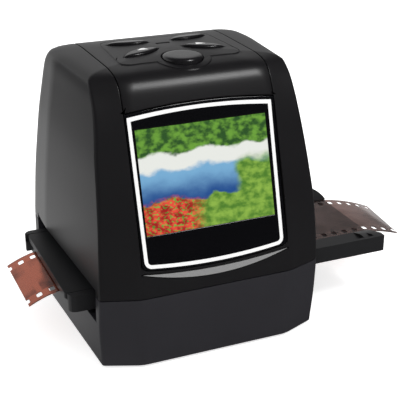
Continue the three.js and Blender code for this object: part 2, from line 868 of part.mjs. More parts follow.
function film_strip() {
  const left_end = tray_left_x - film_left_reach;
  const right_end = tray_right_x + film_right_reach;
  const xs = [];
  for (let step = 0; step <= film_bend_steps; step += 1) {
    xs.push(left_end + film_left_reach * (step / film_bend_steps));
  }
  for (let step = 0; step <= film_bend_steps; step += 1) {
    xs.push(tray_right_x + film_right_reach * (step / film_bend_steps));
  }
  const upper = xs.map((x) => [x, film_height(x) + film_thickness / 2]);
  const lower = xs.map((x) => [x, film_height(x) - film_thickness / 2]).reverse();
  let film = wide_prism([...upper, ...lower], -film_width / 2, film_width / 2);
  const hole_y = film_width / 2 - perforation_inset;
  const half_x = perforation_length / 2;
  const half_y = perforation_width / 2;
  const count = Math.ceil((right_end - left_end) / perforation_pitch);
  for (let index = 0; index <= count; index += 1) {
    const x = left_end + index * perforation_pitch;
    [-hole_y, hole_y].forEach((y) => {
      film = film.subtract(block([x - half_x, y - half_y, 0], [x + half_x, y + half_y, tray_high_z]));
    });
  }
  const skew = prism([
    [right_end, film_width],
    [right_end + film_width, film_width],
    [right_end + film_width, -film_width],
    [right_end - film_cut_skew * 1.5, -film_width],
    [right_end, film_width / 2],
  ], 0, tray_high_z);
  return to_mesh('film_strip', film.subtract(skew), film_brown);
}

// An L-shaped rail: the tray lies on its ledge and runs along its wall
function guide_rail(side) {
  const ledge_high = tray_low_z - gap;
  const ledge_low = ledge_high - guide_ledge_height;
  const low = floor_thickness + gap;
  const outline = [
    [guide_inner_y - guide_ledge, ledge_low],
    [guide_inner_y, ledge_low],
    [guide_inner_y, low],
    [guide_outer_y, low],
    [guide_outer_y, guide_top_z],
    [guide_inner_y, guide_top_z],
    [guide_inner_y, ledge_high],
    [guide_inner_y - guide_ledge, ledge_high],
  ].map(([y, z]) => [side * y, z]);
  return long_prism(side > 0 ? outline : outline.reverse(), -guide_half_length, guide_half_length);
}

// The rear rail has a window for the spring that steadies the tray
function rear_rail() {
  const window = block(
    [-spring_bow / 2, guide_inner_y - gap, tray_low_z],
    [spring_bow / 2, guide_outer_y + gap, tray_high_z],
  );
  return guide_rail(1).subtract(window);
}

// A leaf spring seats on the rear rail's outer face and bows through its window to the tray
function detent_spring() {
  const seat_y = guide_outer_y + gap;
  const bow_depth = seat_y - guide_inner_y;
  const face = (x) => {
    const share = Math.min(Math.abs(x) / (spring_bow / 2), 1);
    return seat_y - bow_depth * (1 + Math.cos(Math.PI * share)) / 2;
  };
  const inner = [];
  for (let step = 0; step <= spring_steps; step += 1) {
    const x = spring_length * (step / spring_steps) - spring_length / 2;
    inner.push([x, face(x)]);
  }
  const outer = inner.map(([x, y]) => [x, y + spring_thickness]).reverse();
  const middle_z = (tray_low_z + tray_high_z) / 2;
  const strip = prism([...inner, ...outer], middle_z - spring_height / 2, middle_z + spring_height / 2);
  return to_mesh('detent_spring', strip, metal);
}

function light_box_pieces() {
  const low = floor_thickness + gap;
  const high = diffuser_top_z - diffuser_thickness - gap;
  const half_x = light_box_length / 2;
  const half_y = light_box_half_width;
  const inner_x = half_x - light_box_wall;
  const inner_y = half_y - light_box_wall;
  let box = block([-half_x, -half_y, low], [half_x, half_y, high]);
  const inner_low = low + light_box_wall;
  box = box.subtract(block([-inner_x, -inner_y, inner_low], [inner_x, inner_y, high + overrun]));
  const board_low = inner_low + gap;
  const board_x = inner_x - light_board_margin;
  const board_y = inner_y - light_board_margin;
  const board_high = board_low + board_thickness;
  const board = block([-board_x, -board_y, board_low], [board_x, board_y, board_high]);
  const led_low = board_high + gap;
  const led = post(led_radius, led_low, led_low + led_height, 0, 0);
  const diffuser = block([-half_x, -half_y, high + gap], [half_x, half_y, diffuser_top_z]);
  return [
    to_mesh('light_box', box, milk),
    to_mesh('light_board', board, board_green),
    to_mesh('light_source', led, milk),
    to_mesh('diffuser_plate', diffuser, milk),
  ];
}

// A tapered four-sided tube, larger at its foot
function frustum(low_x, low_y, high_x, high_y, low_z, high_z) {
  const corner_signs = [[-1, -1], [1, -1], [1, 1], [-1, 1]];
  const points = [];
  corner_signs.forEach(([x, y]) => points.push(x * low_x / 2, y * low_y / 2, low_z));
  corner_signs.forEach(([x, y]) => points.push(x * high_x / 2, y * high_y / 2, high_z));
  const faces = [0, 2, 1, 0, 3, 2, 4, 5, 6, 4, 6, 7];
  for (let side = 0; side < 4; side += 1) {
    const next = (side + 1) % 4;
    faces.push(side, next, next + 4, side, next + 4, side + 4);
  }
  const geometry = new THREE.BufferGeometry();
  geometry.setAttribute('position', new THREE.Float32BufferAttribute(points, 3));
  geometry.setIndex(faces);
  return to_solid(geometry);
}

function optics_pieces() {
  const half_bridge = bridge_length / 2;
  let bridge = block(
    [-half_bridge, -guide_outer_y, bridge_low_z],
    [half_bridge, guide_outer_y, column_low_z],
  );
  const clear_x = column_base_length / 2 - column_wall;
  const clear_y = column_base_width / 2 - column_wall;
  bridge = bridge.subtract(block([-clear_x, -clear_y, 0], [clear_x, clear_y, column_high_z]));
  const foot_z = column_low_z + gap;
  let column = frustum(
    column_base_length,
    column_base_width,
    column_top_size,
    column_top_size,
    foot_z,
    column_high_z,
  );
  const inner = frustum(
    column_base_length - 2 * column_wall,
    column_base_width - 2 * column_wall,
    column_top_size - 2 * column_wall,
    column_top_size - 2 * column_wall,
    foot_z,
    column_high_z - column_cap,
  );
  const mouth = block(
    [-clear_x, -clear_y, foot_z - overrun],
    [clear_x, clear_y, foot_z + weld],
  );
  column = column.subtract(inner).subtract(mouth);
  column = column.subtract(post(barrel_radius + gap, foot_z, column_high_z + overrun, 0, 0));
  const barrel_high = column_high_z + gap + barrel_flange;
  const barrel_low = barrel_high - barrel_length;
  const bore = barrel_radius - barrel_wall;
  let barrel = post(barrel_radius, barrel_low, barrel_high, 0, 0);
  barrel = barrel.add(post(barrel_radius + barrel_flange, column_high_z + gap, barrel_high, 0, 0));
  barrel = barrel.subtract(post(bore, barrel_low - overrun, barrel_high + overrun, 0, 0));
  const glass_radius = bore - gap;
  const front_z = barrel_low + glass_bulge * 2;
  const rear_z = barrel_high - glass_thickness - glass_bulge * 2;
  const board_low = barrel_high + gap + sensor_spacer + gap;
  const half = sensor_board_size / 2;
  let spacer = block([-half, -half, barrel_high + gap], [half, half, barrel_high + gap + sensor_spacer]);
  const clear = half - column_wall;
  spacer = spacer.subtract(block([-clear, -clear, 0], [clear, clear, housing_height]));
  const board = block([-half, -half, board_low], [half, half, board_low + board_thickness]);
  const sensor_half = sensor_size / 2;
  const sensor_high = board_low - gap;
  const sensor = block(
    [-sensor_half, -sensor_half, sensor_high - sensor_height],
    [sensor_half, sensor_half, sensor_high],
  );
  return [
    to_mesh('optics_bridge', bridge, dark_plastic),
    to_mesh('optics_column', column, dark_plastic),
    to_mesh('lens_barrel', barrel, chip_black),
    to_mesh('front_element', lens_element(glass_radius, front_z), clear_glass),
    to_mesh('rear_element', lens_element(glass_radius, rear_z), clear_glass),
    to_mesh('sensor_spacer', spacer, dark_plastic),
    to_mesh('sensor_board', board, board_green),
    to_mesh('image_sensor', sensor, chip_black),
  ];
}

// A glass element that bulges on both sides
function lens_element(radius, low_z) {
  const steps = arc_steps;
  const profile = [[0, low_z - glass_bulge]];
  for (let step = 1; step <= steps; step += 1) {
    const share = step / steps;
    profile.push([radius * share, low_z - glass_bulge * (1 - share * share)]);
  }
  for (let step = steps; step >= 0; step -= 1) {
    const share = step / steps;
    profile.push([radius * share, low_z + glass_thickness + glass_bulge * (1 - share * share)]);
  }
  return turned(profile, 0, 0);
}

function port_pieces() {
  const low = port_board_z;
  const high = low + board_thickness;
  const half = port_board_width / 2;
  const board = block([-half, port_board_front_y, low], [half, port_board_back_y, high]);
  const part_low = high + gap;
  const usb_back = port_board_back_y + usb_depth / 2 - port_recess;
  const usb_front = usb_back - usb_depth;
  let usb = block(
    [usb_x - usb_width / 2, usb_front, part_low],
    [usb_x + usb_width / 2, usb_back, part_low + usb_height],
  );
  usb = usb.subtract(block(
    [usb_x - usb_width / 2 + usb_wall, usb_front + port_back_wall, part_low + usb_wall],
    [usb_x + usb_width / 2 - usb_wall, usb_back + overrun, part_low + usb_height - usb_wall],
  ));
  const card_back = usb_back;
  const card_front = card_back - card_depth;
  let card = block(
    [card_x - card_width / 2, card_front, part_low],
    [card_x + card_width / 2, card_back, part_low + card_height],
  );
  const slot_low = part_low + (card_height - card_slot_height) / 2;
  card = card.subtract(block(
    [card_x - card_slot_width / 2, card_front + port_back_wall, slot_low],
    [card_x + card_slot_width / 2, card_back + overrun, slot_low + card_slot_height],
  ));
  return [
    to_mesh('port_board', board, board_green),
    to_mesh('usb_socket', usb, metal),
    to_mesh('card_socket', card, metal),
  ];
}

function build_scanner() {
  const group = new THREE.Group();
  const body = upper_body();
  group.add(base_shell(), upper_shell(body), front_cover(body));
  foot_places().forEach(([x, y], index) => group.add(foot(`foot_${index + 1}`, x, y)));
  boss_places().forEach(([x, y], index) => group.add(screw(`screw_${index + 1}`, x, y)));
  group.add(...screen_pieces());
  leaf_keys.forEach(([name, x, y, turn]) => {
    group.add(leaf_key(name, x, y, turn));
    group.add(tact_switch(name.replace('key', 'switch'), x, y));
  });
  group.add(round_key(), tact_switch('switch_scan', 0, round_key_y), key_board(), status_light());
  group.add(film_tray(), film_lid(), film_strip());
  group.add(to_mesh('guide_rail_front', guide_rail(-1), dark_plastic));
  group.add(to_mesh('guide_rail_rear', rear_rail(), dark_plastic), detent_spring());
  group.add(...light_box_pieces(), ...optics_pieces(), ...port_pieces());
  const extent = new THREE.Box3().setFromObject(group);
  const middle = extent.getCenter(new THREE.Vector3());
  group.position.set(-middle.x, -middle.y, -extent.min.z);
  return group;
}

export default build_scanner();
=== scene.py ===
"""Desktop 35 mm film scanner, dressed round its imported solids.

Lengths in the classes are millimetres in the housing's own axes: x = 0 on the optical axis, the
front towards -y and z = 0 on the housing's underside. dress() moves a finished mesh into the row
frame.
"""

import json
import logging
import math
from dataclasses import dataclass
from enum import Enum
from typing import Callable, Iterable, Sequence

import bmesh
import bpy
import numpy as np
from mathutils import Matrix, Vector
from mathutils.bvhtree import BVHTree


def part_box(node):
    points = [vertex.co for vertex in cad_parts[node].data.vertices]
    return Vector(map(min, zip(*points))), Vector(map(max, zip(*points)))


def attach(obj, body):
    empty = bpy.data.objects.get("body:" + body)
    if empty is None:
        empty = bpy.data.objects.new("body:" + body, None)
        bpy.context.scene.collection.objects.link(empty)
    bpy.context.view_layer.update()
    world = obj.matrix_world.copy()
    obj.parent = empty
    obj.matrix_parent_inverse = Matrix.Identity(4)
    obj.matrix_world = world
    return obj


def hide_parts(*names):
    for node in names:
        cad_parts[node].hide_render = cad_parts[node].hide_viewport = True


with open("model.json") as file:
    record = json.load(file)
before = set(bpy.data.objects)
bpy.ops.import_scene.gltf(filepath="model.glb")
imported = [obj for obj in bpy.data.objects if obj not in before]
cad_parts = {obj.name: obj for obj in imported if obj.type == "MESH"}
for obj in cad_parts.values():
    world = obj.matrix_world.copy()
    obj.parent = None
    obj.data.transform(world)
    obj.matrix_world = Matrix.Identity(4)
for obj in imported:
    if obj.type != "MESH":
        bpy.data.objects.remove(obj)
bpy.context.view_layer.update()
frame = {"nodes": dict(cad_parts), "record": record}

MM = 0.001  # one millimetre in metres
WELD = 0.002  # points nearer than this are one
GAP = 0.3  # between neighbouring pieces
UNDER, ABOVE, FAR = -30.0, 130.0, 150.0  # below, above and beyond the whole object
SHARP = 32.0  # degrees: an edge sharper than this shows as an edge
CURVED = 40.0  # the same on the keys and the film
LOG = logging.getLogger("film_scanner")

Piece = bpy.types.Object
Material = bpy.types.Material
Socket = bpy.types.NodeSocket
Point = tuple[float, float]
Colour = tuple[float, float, float]
Triple = tuple[float, float, float]


def srgb(code: str) -> Colour:
    """Turns a colour as it is seen, six hexadecimal digits, into linear light."""
    parts = [int(code[i:i + 2], 16) / 255 for i in (0, 2, 4)]
    return tuple(p / 12.92 if p <= 0.04045 else ((p + 0.055) / 1.055) ** 2.4 for p in parts)


def housing_origin() -> Vector:
    """The row frame's place of the housing's own origin, in metres."""
    low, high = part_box("lens_barrel")
    return Vector(((low.x + high.x) / 2, (low.y + high.y) / 2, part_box("base_shell")[0].z))


ORIGIN = housing_origin()


class Cut(Enum):
    """How one mesh changes another."""

    AWAY = "DIFFERENCE"
    KEEP = "INTERSECT"
    JOIN = "UNION"


# Mesh tools


def linked(name: str, data: bpy.types.ID) -> Piece:
    """Makes an object of some data.

    Args:
        name: the object's name.
        data: its mesh, lamp or camera.

    Returns:
        The object, linked to the scene.
    """
    obj = bpy.data.objects.new(name, data)
    bpy.context.scene.collection.objects.link(obj)
    return obj


def select_only(*pieces: Piece) -> None:
    """Deselects everything, then selects these pieces, the first one active.

    Args:
        pieces: what to select.
    """
    bpy.ops.object.select_all(action="DESELECT")
    for piece in pieces:
        piece.select_set(True)
    bpy.context.view_layer.objects.active = pieces[0]


def mesh_piece(
    name: str, points: Iterable[Sequence[float]], faces: Iterable[Sequence[int]]
) -> Piece:
    """Makes an object from points and faces.

    Args:
        name: the object's name.
        points: corners in millimetres.
        faces: corner numbers of each face, anticlockwise seen from outside.

    Returns:
        The new object.
    """
    mesh = bpy.data.meshes.new(name)
    mesh.from_pydata([tuple(p) for p in points], [], [tuple(f) for f in faces])
    mesh.update()
    return linked(name, mesh)


def edit_all(obj: Piece) -> None:
    """Enters edit mode with the whole mesh selected.

    Args:
        obj: the object to edit.
    """
    select_only(obj)
    bpy.ops.object.mode_set(mode="EDIT")
    bpy.ops.mesh.select_mode(type="VERT")
    bpy.ops.mesh.select_all(action="SELECT")


def leave_edit() -> None:
    """Goes back to object mode."""
    bpy.ops.object.mode_set(mode="OBJECT")


def pick_faces(obj: Piece, test: Callable[[bmesh.types.BMFace], bool]) -> None:
    """Enters edit mode with the faces that pass a test selected.

    Args:
        obj: the object to edit.
        test: says whether a face is wanted.
    """
    edit_all(obj)
    bpy.ops.mesh.select_mode(type="FACE")
    bpy.ops.mesh.select_all(action="DESELECT")
    edited = bmesh.from_edit_mesh(obj.data)
    for face in edited.faces:
        face.select_set(test(face))
    bmesh.update_edit_mesh(obj.data)


def faces_up(face: bmesh.types.BMFace) -> bool:
    """Whether a face looks upwards."""
    return face.normal.z > 0.9


def extrude_up(height: float) -> None:
    """Extrudes what is selected along Z."""
    bpy.ops.mesh.extrude_region_move(TRANSFORM_OT_translate={"value": (0, 0, height)})


def face_outwards() -> None:
    """Turns all faces of the closed mesh in edit mode outwards and leaves edit mode."""
    bpy.ops.mesh.select_all(action="SELECT")
    bpy.ops.mesh.normals_make_consistent(inside=False)
    leave_edit()


def shift(obj: Piece, x: float, y: float, z: float) -> None:
    """Moves a mesh within its object."""
    obj.data.transform(Matrix.Translation((x, y, z)))


def apply_modifier(obj: Piece, modifier: bpy.types.Modifier) -> None:
    """Applies one modifier to its object."""
    select_only(obj)
    bpy.ops.object.modifier_apply(modifier=modifier.name)


def carve(obj: Piece, tool: Piece, how: Cut = Cut.AWAY) -> None:
    """Changes one mesh by another, which is then removed.

    Args:
        obj: the mesh to change.
        tool: the mesh that changes it.
        how: cut away, keep what both share, or join.
    """
    change = obj.modifiers.new("carve", "BOOLEAN")
    change.operation = how.value
    change.solver = "EXACT"
    change.object = tool
    apply_modifier(obj, change)
    bpy.data.objects.remove(tool)


def joined(tools: Sequence[Piece]) -> Piece:
    """Makes one object of several that don't touch each other.

    Args:
        tools: the objects.

    Returns:
        The first, which now holds them all.
    """
    select_only(*tools)
    bpy.ops.object.join()
    return tools[0]


def block(low: Sequence[float], high: Sequence[float]) -> Piece:
    """A box between two opposite corners.

    Args:
        low: its lowest corner.
        high: its highest corner.

    Returns:
        The box.
    """
    bpy.ops.object.select_all(action="DESELECT")
    bpy.ops.mesh.primitive_cube_add(size=1)
    obj = bpy.context.active_object
    size = [b - a for a, b in zip(low, high)]
    middle = [(a + b) / 2 for a, b in zip(low, high)]
    obj.data.transform(Matrix.Translation(middle) @ Matrix.Diagonal((*size, 1)))
    return obj


def post(radius: float, low: float, high: float, x: float, y: float, sides: int = 48) -> Piece:
    """An upright cylinder.

    Args:
        radius: its radius.
        low: where it starts.
        high: where it ends.
        x: its place across.
        y: its place from front to back.
        sides: its facets.

    Returns:
        The cylinder.
    """
    bpy.ops.object.select_all(action="DESELECT")
    bpy.ops.mesh.primitive_cylinder_add(vertices=sides, radius=radius, depth=high - low)
    obj = bpy.context.active_object
    shift(obj, x, y, (low + high) / 2)
    return obj


def four_posts(places: Point, radius: float, low: float, high: float, sides: int = 48) -> Piece:
    """Four upright cylinders at the corners of a rectangle round the axis.

    Args:
        places: how far they stand from the middle, across and from front to back.
        radius: their radius.
        low: where they start.
        high: where they end.
        sides: facets of each.

    Returns:
        All four as one object.
    """
    x, y = places
    return joined([post(radius, low, high, a, b, sides) for a in (-x, x) for b in (-y, y)])


def prism(name: str, outline: Sequence[Point], low: float, high: float) -> Piece:
    """Extrudes a closed outline between two heights.

    Args:
        name: the object's name.
        outline: points in X and Y, anticlockwise.
        low: where the extrusion starts.
        high: where it ends.

    Returns:
        The closed solid.
    """
    obj = mesh_piece(name, [(x, y, low) for x, y in outline], [range(len(outline))])
    edit_all(obj)
    extrude_up(high - low)
    face_outwards()
    return obj


def weld(obj: Piece, distance: float = WELD) -> None:
    """Merges points that lie together and drops what has no size.

    Args:
        obj: the mesh to clean.
        distance: how near two points must be.
    """
    edit_all(obj)
    bpy.ops.mesh.remove_doubles(threshold=distance)
    bpy.ops.mesh.dissolve_degenerate(threshold=distance / 2)
    bpy.ops.mesh.select_all(action="SELECT")
    bpy.ops.mesh.delete_loose()
    leave_edit()


def shade(obj: Piece, angle: float = SHARP) -> None:
    """Shades an object smooth where its faces meet at less than an angle.

    Args:
        obj: the object.
        angle: the angle, in degrees.
    """
    select_only(obj)
    bpy.ops.object.shade_smooth_by_angle(angle=math.radians(angle))
    normals = obj.modifiers.new("even", "WEIGHTED_NORMAL")
    normals.keep_sharp = True
    apply_modifier(obj, normals)


def soften(
    obj: Piece, width: float, segments: int = 2, angle: float = SHARP, clamp: bool = False
) -> None:
    """Rounds the sharp edges and shades the rest smooth.

    Args:
        obj: the piece.
        width: how far back from an edge the rounding starts.
        segments: facets on the rounding.
        angle: edges sharper than this are rounded, in degrees.
        clamp: whether short edges hold the width back.
    """
    bevel = obj.modifiers.new("soften", "BEVEL")
    bevel.width = width
    bevel.segments = segments
    bevel.limit_method = "ANGLE"
    bevel.angle_limit = math.radians(angle)
    bevel.use_clamp_overlap = clamp
    apply_modifier(obj, bevel)
    weld(obj)
    shade(obj, angle)


def node_copy(node: str, name: str) -> Piece:
    """Copies a CAD node's mesh into the housing's own millimetres.

    Args:
        node: the CAD node.
        name: the copy's name.

    Returns:
        The copy, merged, with its flat faces in one piece each.
    """
    obj = linked(name, frame["nodes"][node].data.copy())
    obj.data.materials.clear()
    obj.data.transform(Matrix.Scale(1 / MM, 4) @ Matrix.Translation(-ORIGIN))
    select_only(obj)
    if obj.data.has_custom_normals:
        bpy.ops.mesh.customdata_custom_splitnormals_clear()
    edit_all(obj)
    bpy.ops.mesh.remove_doubles(threshold=WELD)
    bpy.ops.mesh.dissolve_limited(angle_limit=math.radians(0.6))
    leave_edit()
    return obj


def dress(
    obj: Piece, name: str, body: str, finish: Material, stands_for: Sequence[str] = ()
) -> None:
    """Moves a finished mesh into the row frame and ties it to its body.

    Args:
        obj: the mesh, in the housing's millimetres.
        name: the piece's name.
        body: the CAD body that it moves with.
        finish: its material.
        stands_for: the CAD nodes that it replaces.
    """
    obj.name = name
    obj.data.name = name
    obj.data.transform(Matrix.Translation(ORIGIN) @ Matrix.Scale(MM, 4))
    obj.data.materials.clear()
    obj.data.materials.append(finish)
    obj.data.update()
    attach(obj, body)
    if stands_for:
        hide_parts(*stands_for)
    LOG.info("%s: %d faces, rides on %s", name, len(obj.data.polygons), body)


# Finishes


def tone(colour: Colour, share: float) -> Colour:
    """A colour made darker or lighter by a share."""
    return tuple(min(c * share, 1.0) for c in colour)


class NodeSheet:
    """The nodes of one material or world."""

    def __init__(self, owner: Material | bpy.types.World) -> None:
        """Starts an empty sheet.

        Args:
            owner: whose nodes they are.
        """
        self.owner = owner
        owner.use_nodes = True
        self.tree = owner.node_tree
        self.tree.nodes.clear()

    def add(self, kind: str, inputs: dict | None = None, **settings: object) -> bpy.types.Node:
        """Adds a node.

        Args:
            kind: its type, without "ShaderNode".
            inputs: values or other nodes' outputs for its sockets, by name or number.
            settings: its own properties.

        Returns:
            The node.
        """
        node = self.tree.nodes.new("ShaderNode" + kind)
        for key, value in settings.items():
            setattr(node, key, value)
        for key, value in (inputs or {}).items():
            if isinstance(value, Socket):
                self.tree.links.new(value, node.inputs[key])
            else:
                node.inputs[key].default_value = value
        return node

    def place(self) -> Socket:
        """Where a point lies on the piece, in metres."""
        return self.add("TexCoord").outputs["Object"]

    def math(self, how: str, first: object, second: object = 0.0) -> Socket:
        """One sum, product or comparison."""
        return self.add("Math", {0: first, 1: second}, operation=how).outputs[0]

    def along(self, place: Socket, way: Triple) -> Socket:
        """How far a place lies along a way."""
        return self.add("VectorMath", {0: place, 1: way}, operation="DOT_PRODUCT").outputs["Value"]

    def mix(self, share: object, first: object, second: object) -> Socket:
        """Mixes two colours, given as numbers or sockets."""
        pair = [(*c, 1) if isinstance(c, tuple) else c for c in (first, second)]
        return self.add("Mix", {0: share, 6: pair[0], 7: pair[1]}, data_type="RGBA").outputs[2]

    def noise(self, place: Socket, scale: float, detail: float = 2) -> Socket:
        """Soft noise from 0 to 1 at a scale."""
        return self.add("TexNoise", {"Vector": place, "Scale": scale, "Detail": detail}).outputs[0]

    def step(self, value: object, start: float, end: float) -> Socket:
        """Rises smoothly from 0 at start to 1 at end."""
        inputs = {"Value": value, "From Min": start, "From Max": end}
        return self.add("MapRange", inputs, interpolation_type="SMOOTHSTEP").outputs[0]

    def spread(self, value: object, low: float, high: float) -> Socket:
        """Spreads 0 to 1 over another range."""
        return self.add("MapRange", {"Value": value, "To Min": low, "To Max": high}).outputs[0]

    def bump(self, height: Socket, strength: float, distance: float) -> Socket:
        """The normal of a finely uneven surface, its relief in metres."""
        inputs = {"Height": height, "Strength": strength, "Distance": distance}
        return self.add("Bump", inputs).outputs[0]

    def close(self, shader: bpy.types.Node, kind: str = "OutputMaterial") -> None:
        """Links the last shader to the output."""
        self.tree.links.new(shader.outputs[0], self.add(kind).inputs["Surface"])

    def surface(self, inputs: dict) -> Material:
        """Ends the sheet with a principled shader and gives back the material."""
        self.close(self.add("BsdfPrincipled", inputs))
        return self.owner


@dataclass(frozen=True)
class Finish:
    """What all finishes share."""

    name: str

    def sheet(self) -> NodeSheet:
        """Starts the material's nodes."""
        return NodeSheet(bpy.data.materials.new(self.name))


@dataclass(frozen=True)
class Moulding(Finish):
    """Moulded plastic or rubber: its tone drifts a little, its fine grain breaks up the light."""

    colour: Colour
    roughness: float = 0.42
    drift: float = 0.12
    grain: float = 3200
    depth: float = 0.06
    coat: float = 0.0
    subsurface: float = 0.0

    def make(self) -> Material:
        """Builds the material.

        Returns:
            The material.
        """
        sheet = self.sheet()
        place = sheet.place()
        fine = sheet.noise(place, scale=self.grain, detail=3)
        darker, lighter = tone(self.colour, 1 - self.drift), tone(self.colour, 1 + self.drift)
        inputs = {
            "Base Color": sheet.mix(sheet.noise(place, scale=45, detail=3), darker, lighter),
            "Roughness": sheet.spread(fine, self.roughness - 0.04, self.roughness + 0.04),
            "Normal": sheet.bump(fine, self.depth, 0.2 * MM),
        }
        if self.coat:
            inputs |= {"Coat Weight": self.coat, "Coat Roughness": 0.08}
        if self.subsurface:
            inputs |= {"Subsurface Weight": self.subsurface, "Subsurface Scale": MM}
        return sheet.surface(inputs)


@dataclass(frozen=True)
class GlossBlack(Finish):
    """Polished black acrylic with hardly any unevenness."""

    colour: Colour
    roughness: float = 0.05

    def make(self) -> Material:
        """Builds the material.

        Returns:
            The material.
        """
        sheet = self.sheet()
        place = sheet.place()
        haze = sheet.noise(place, scale=90, detail=4)
        return sheet.surface({
            "Base Color": sheet.mix(haze, self.colour, tone(self.colour, 1.3)),
            "Roughness": sheet.spread(haze, self.roughness * 0.7, self.roughness * 1.5),
            "Normal": sheet.bump(sheet.noise(place, scale=260), 0.02, 0.1 * MM),
        })


@dataclass(frozen=True)
class BrushedMetal(Finish):
    """Plated metal with fine lines along X."""

    colour: Colour
    roughness: float = 0.3
    line_scale: Triple = (120.0, 3000.0, 3000.0)

    def make(self) -> Material:
        """Builds the material.

        Returns:
            The material.
        """
        sheet = self.sheet()
        stretched = sheet.add("Mapping", {"Vector": sheet.place(), "Scale": self.line_scale})
        lines = sheet.noise(stretched.outputs[0], scale=1)
        return sheet.surface({
            "Base Color": sheet.mix(lines, tone(self.colour, 0.85), self.colour),
            "Metallic": 1.0,
            "Roughness": sheet.spread(lines, self.roughness - 0.06, self.roughness + 0.08),
            "Normal": sheet.bump(lines, 0.1, 0.1 * MM),
        })


@dataclass(frozen=True)
class CircuitBoard(Finish):
    """Solder mask with paler tracks that run square to each other."""

    colour: Colour

    def make(self) -> Material:
        """Builds the material.

        Returns:
            The material.
        """
        sheet = self.sheet()
        place = sheet.place()
        inputs = {"Vector": place, "Scale": 420.0, "Randomness": 0.6}
        cells = sheet.add("TexVoronoi", inputs, distance="MANHATTAN", feature="F1")
        tracks = sheet.step(cells.outputs[0], 0.42, 0.5)
        return sheet.surface({
            "Base Color": sheet.mix(tracks, self.colour, tone(self.colour, 1.9)),
            "Roughness": sheet.spread(sheet.noise(place, scale=300), 0.35, 0.5),
            "Normal": sheet.bump(tracks, 0.2, 0.04 * MM),
        })


@dataclass(frozen=True)
class LensGlass(Finish):
    """Clear optical glass with a faint tint that thickens in places."""

    def make(self) -> Material:
        """Builds the material.

        Returns:
            The material.
        """
        sheet = self.sheet()
        tint = sheet.noise(sheet.place(), scale=120)
        return sheet.surface({
            "Base Color": sheet.mix(tint, (0.86, 0.93, 0.98), (0.95, 0.97, 1.0)),
            "Roughness": 0.02,
            "IOR": 1.52,
            "Transmission Weight": 1.0,
        })


@dataclass(frozen=True)
class FilmBase(Finish):
    """Colour negative with darker frames and rims, red-brown at its left and grey at its right."""

    base: Colour
    frame_tone: Colour
    grey_base: Colour
    grey_tone: Colour
    pitch: float = 38.0
    frame_length: float = 36.0
    frame_width: float = 24.0
    strip_width: float = 35.0
    rim_width: float = 1.2
    blur: float = 0.3
    grey_place: float = 40.0

    def frames(self, sheet: NodeSheet, x: Socket, across: Socket) -> Socket:
        """Where the frames lie.

        Args:
            sheet: the material's nodes.
            x: the place along the film, in metres.
            across: the distance from its middle line.

        Returns:
            1 inside a frame and 0 between them.
        """
        along = sheet.math("ADD", sheet.math("DIVIDE", x, self.pitch * MM), 0.5)
        centred = sheet.math("SUBTRACT", sheet.math("FRACT", along), 0.5)
        half = self.frame_length / self.pitch / 2
        edge = self.frame_width / 2
        inside_x = sheet.step(sheet.math("ABSOLUTE", centred), half + 0.006, half - 0.006)
        inside_y = sheet.step(across, (edge + self.blur) * MM, (edge - self.blur) * MM)
        return sheet.math("MULTIPLY", inside_x, inside_y)

    def make(self) -> Material:
        """Builds the material.

        Returns:
            The material.
        """
        sheet = self.sheet()
        place = sheet.place()
        moved = sheet.add("Mapping", {"Vector": place, "Location": tuple(-ORIGIN)})
        axes = sheet.add("SeparateXYZ", {0: moved.outputs[0]})
        across = sheet.math("ABSOLUTE", axes.outputs[1])
        inside = self.frames(sheet, axes.outputs[0], across)
        right = sheet.step(axes.outputs[0], 0.0, self.grey_place * MM)
        plain = sheet.mix(right, self.base, self.grey_base)
        dark = sheet.mix(right, self.frame_tone, self.grey_tone)
        picture = sheet.step(sheet.noise(place, scale=70, detail=4), 0.35, 0.65)
        edge = self.strip_width / 2
        rim = sheet.step(across, (edge - self.rim_width) * MM, edge * MM)
        toned = sheet.mix(picture, dark, plain)
        body = sheet.mix(sheet.math("MULTIPLY", inside, 0.9), plain, toned)
        return sheet.surface({
            "Base Color": sheet.mix(sheet.math("MULTIPLY", rim, 0.4), body, dark),
            "Roughness": sheet.spread(sheet.noise(place, scale=500), 0.1, 0.16),
            "IOR": 1.45,
            "Specular IOR Level": 0.3,
            "Transmission Weight": 1.0,
        })


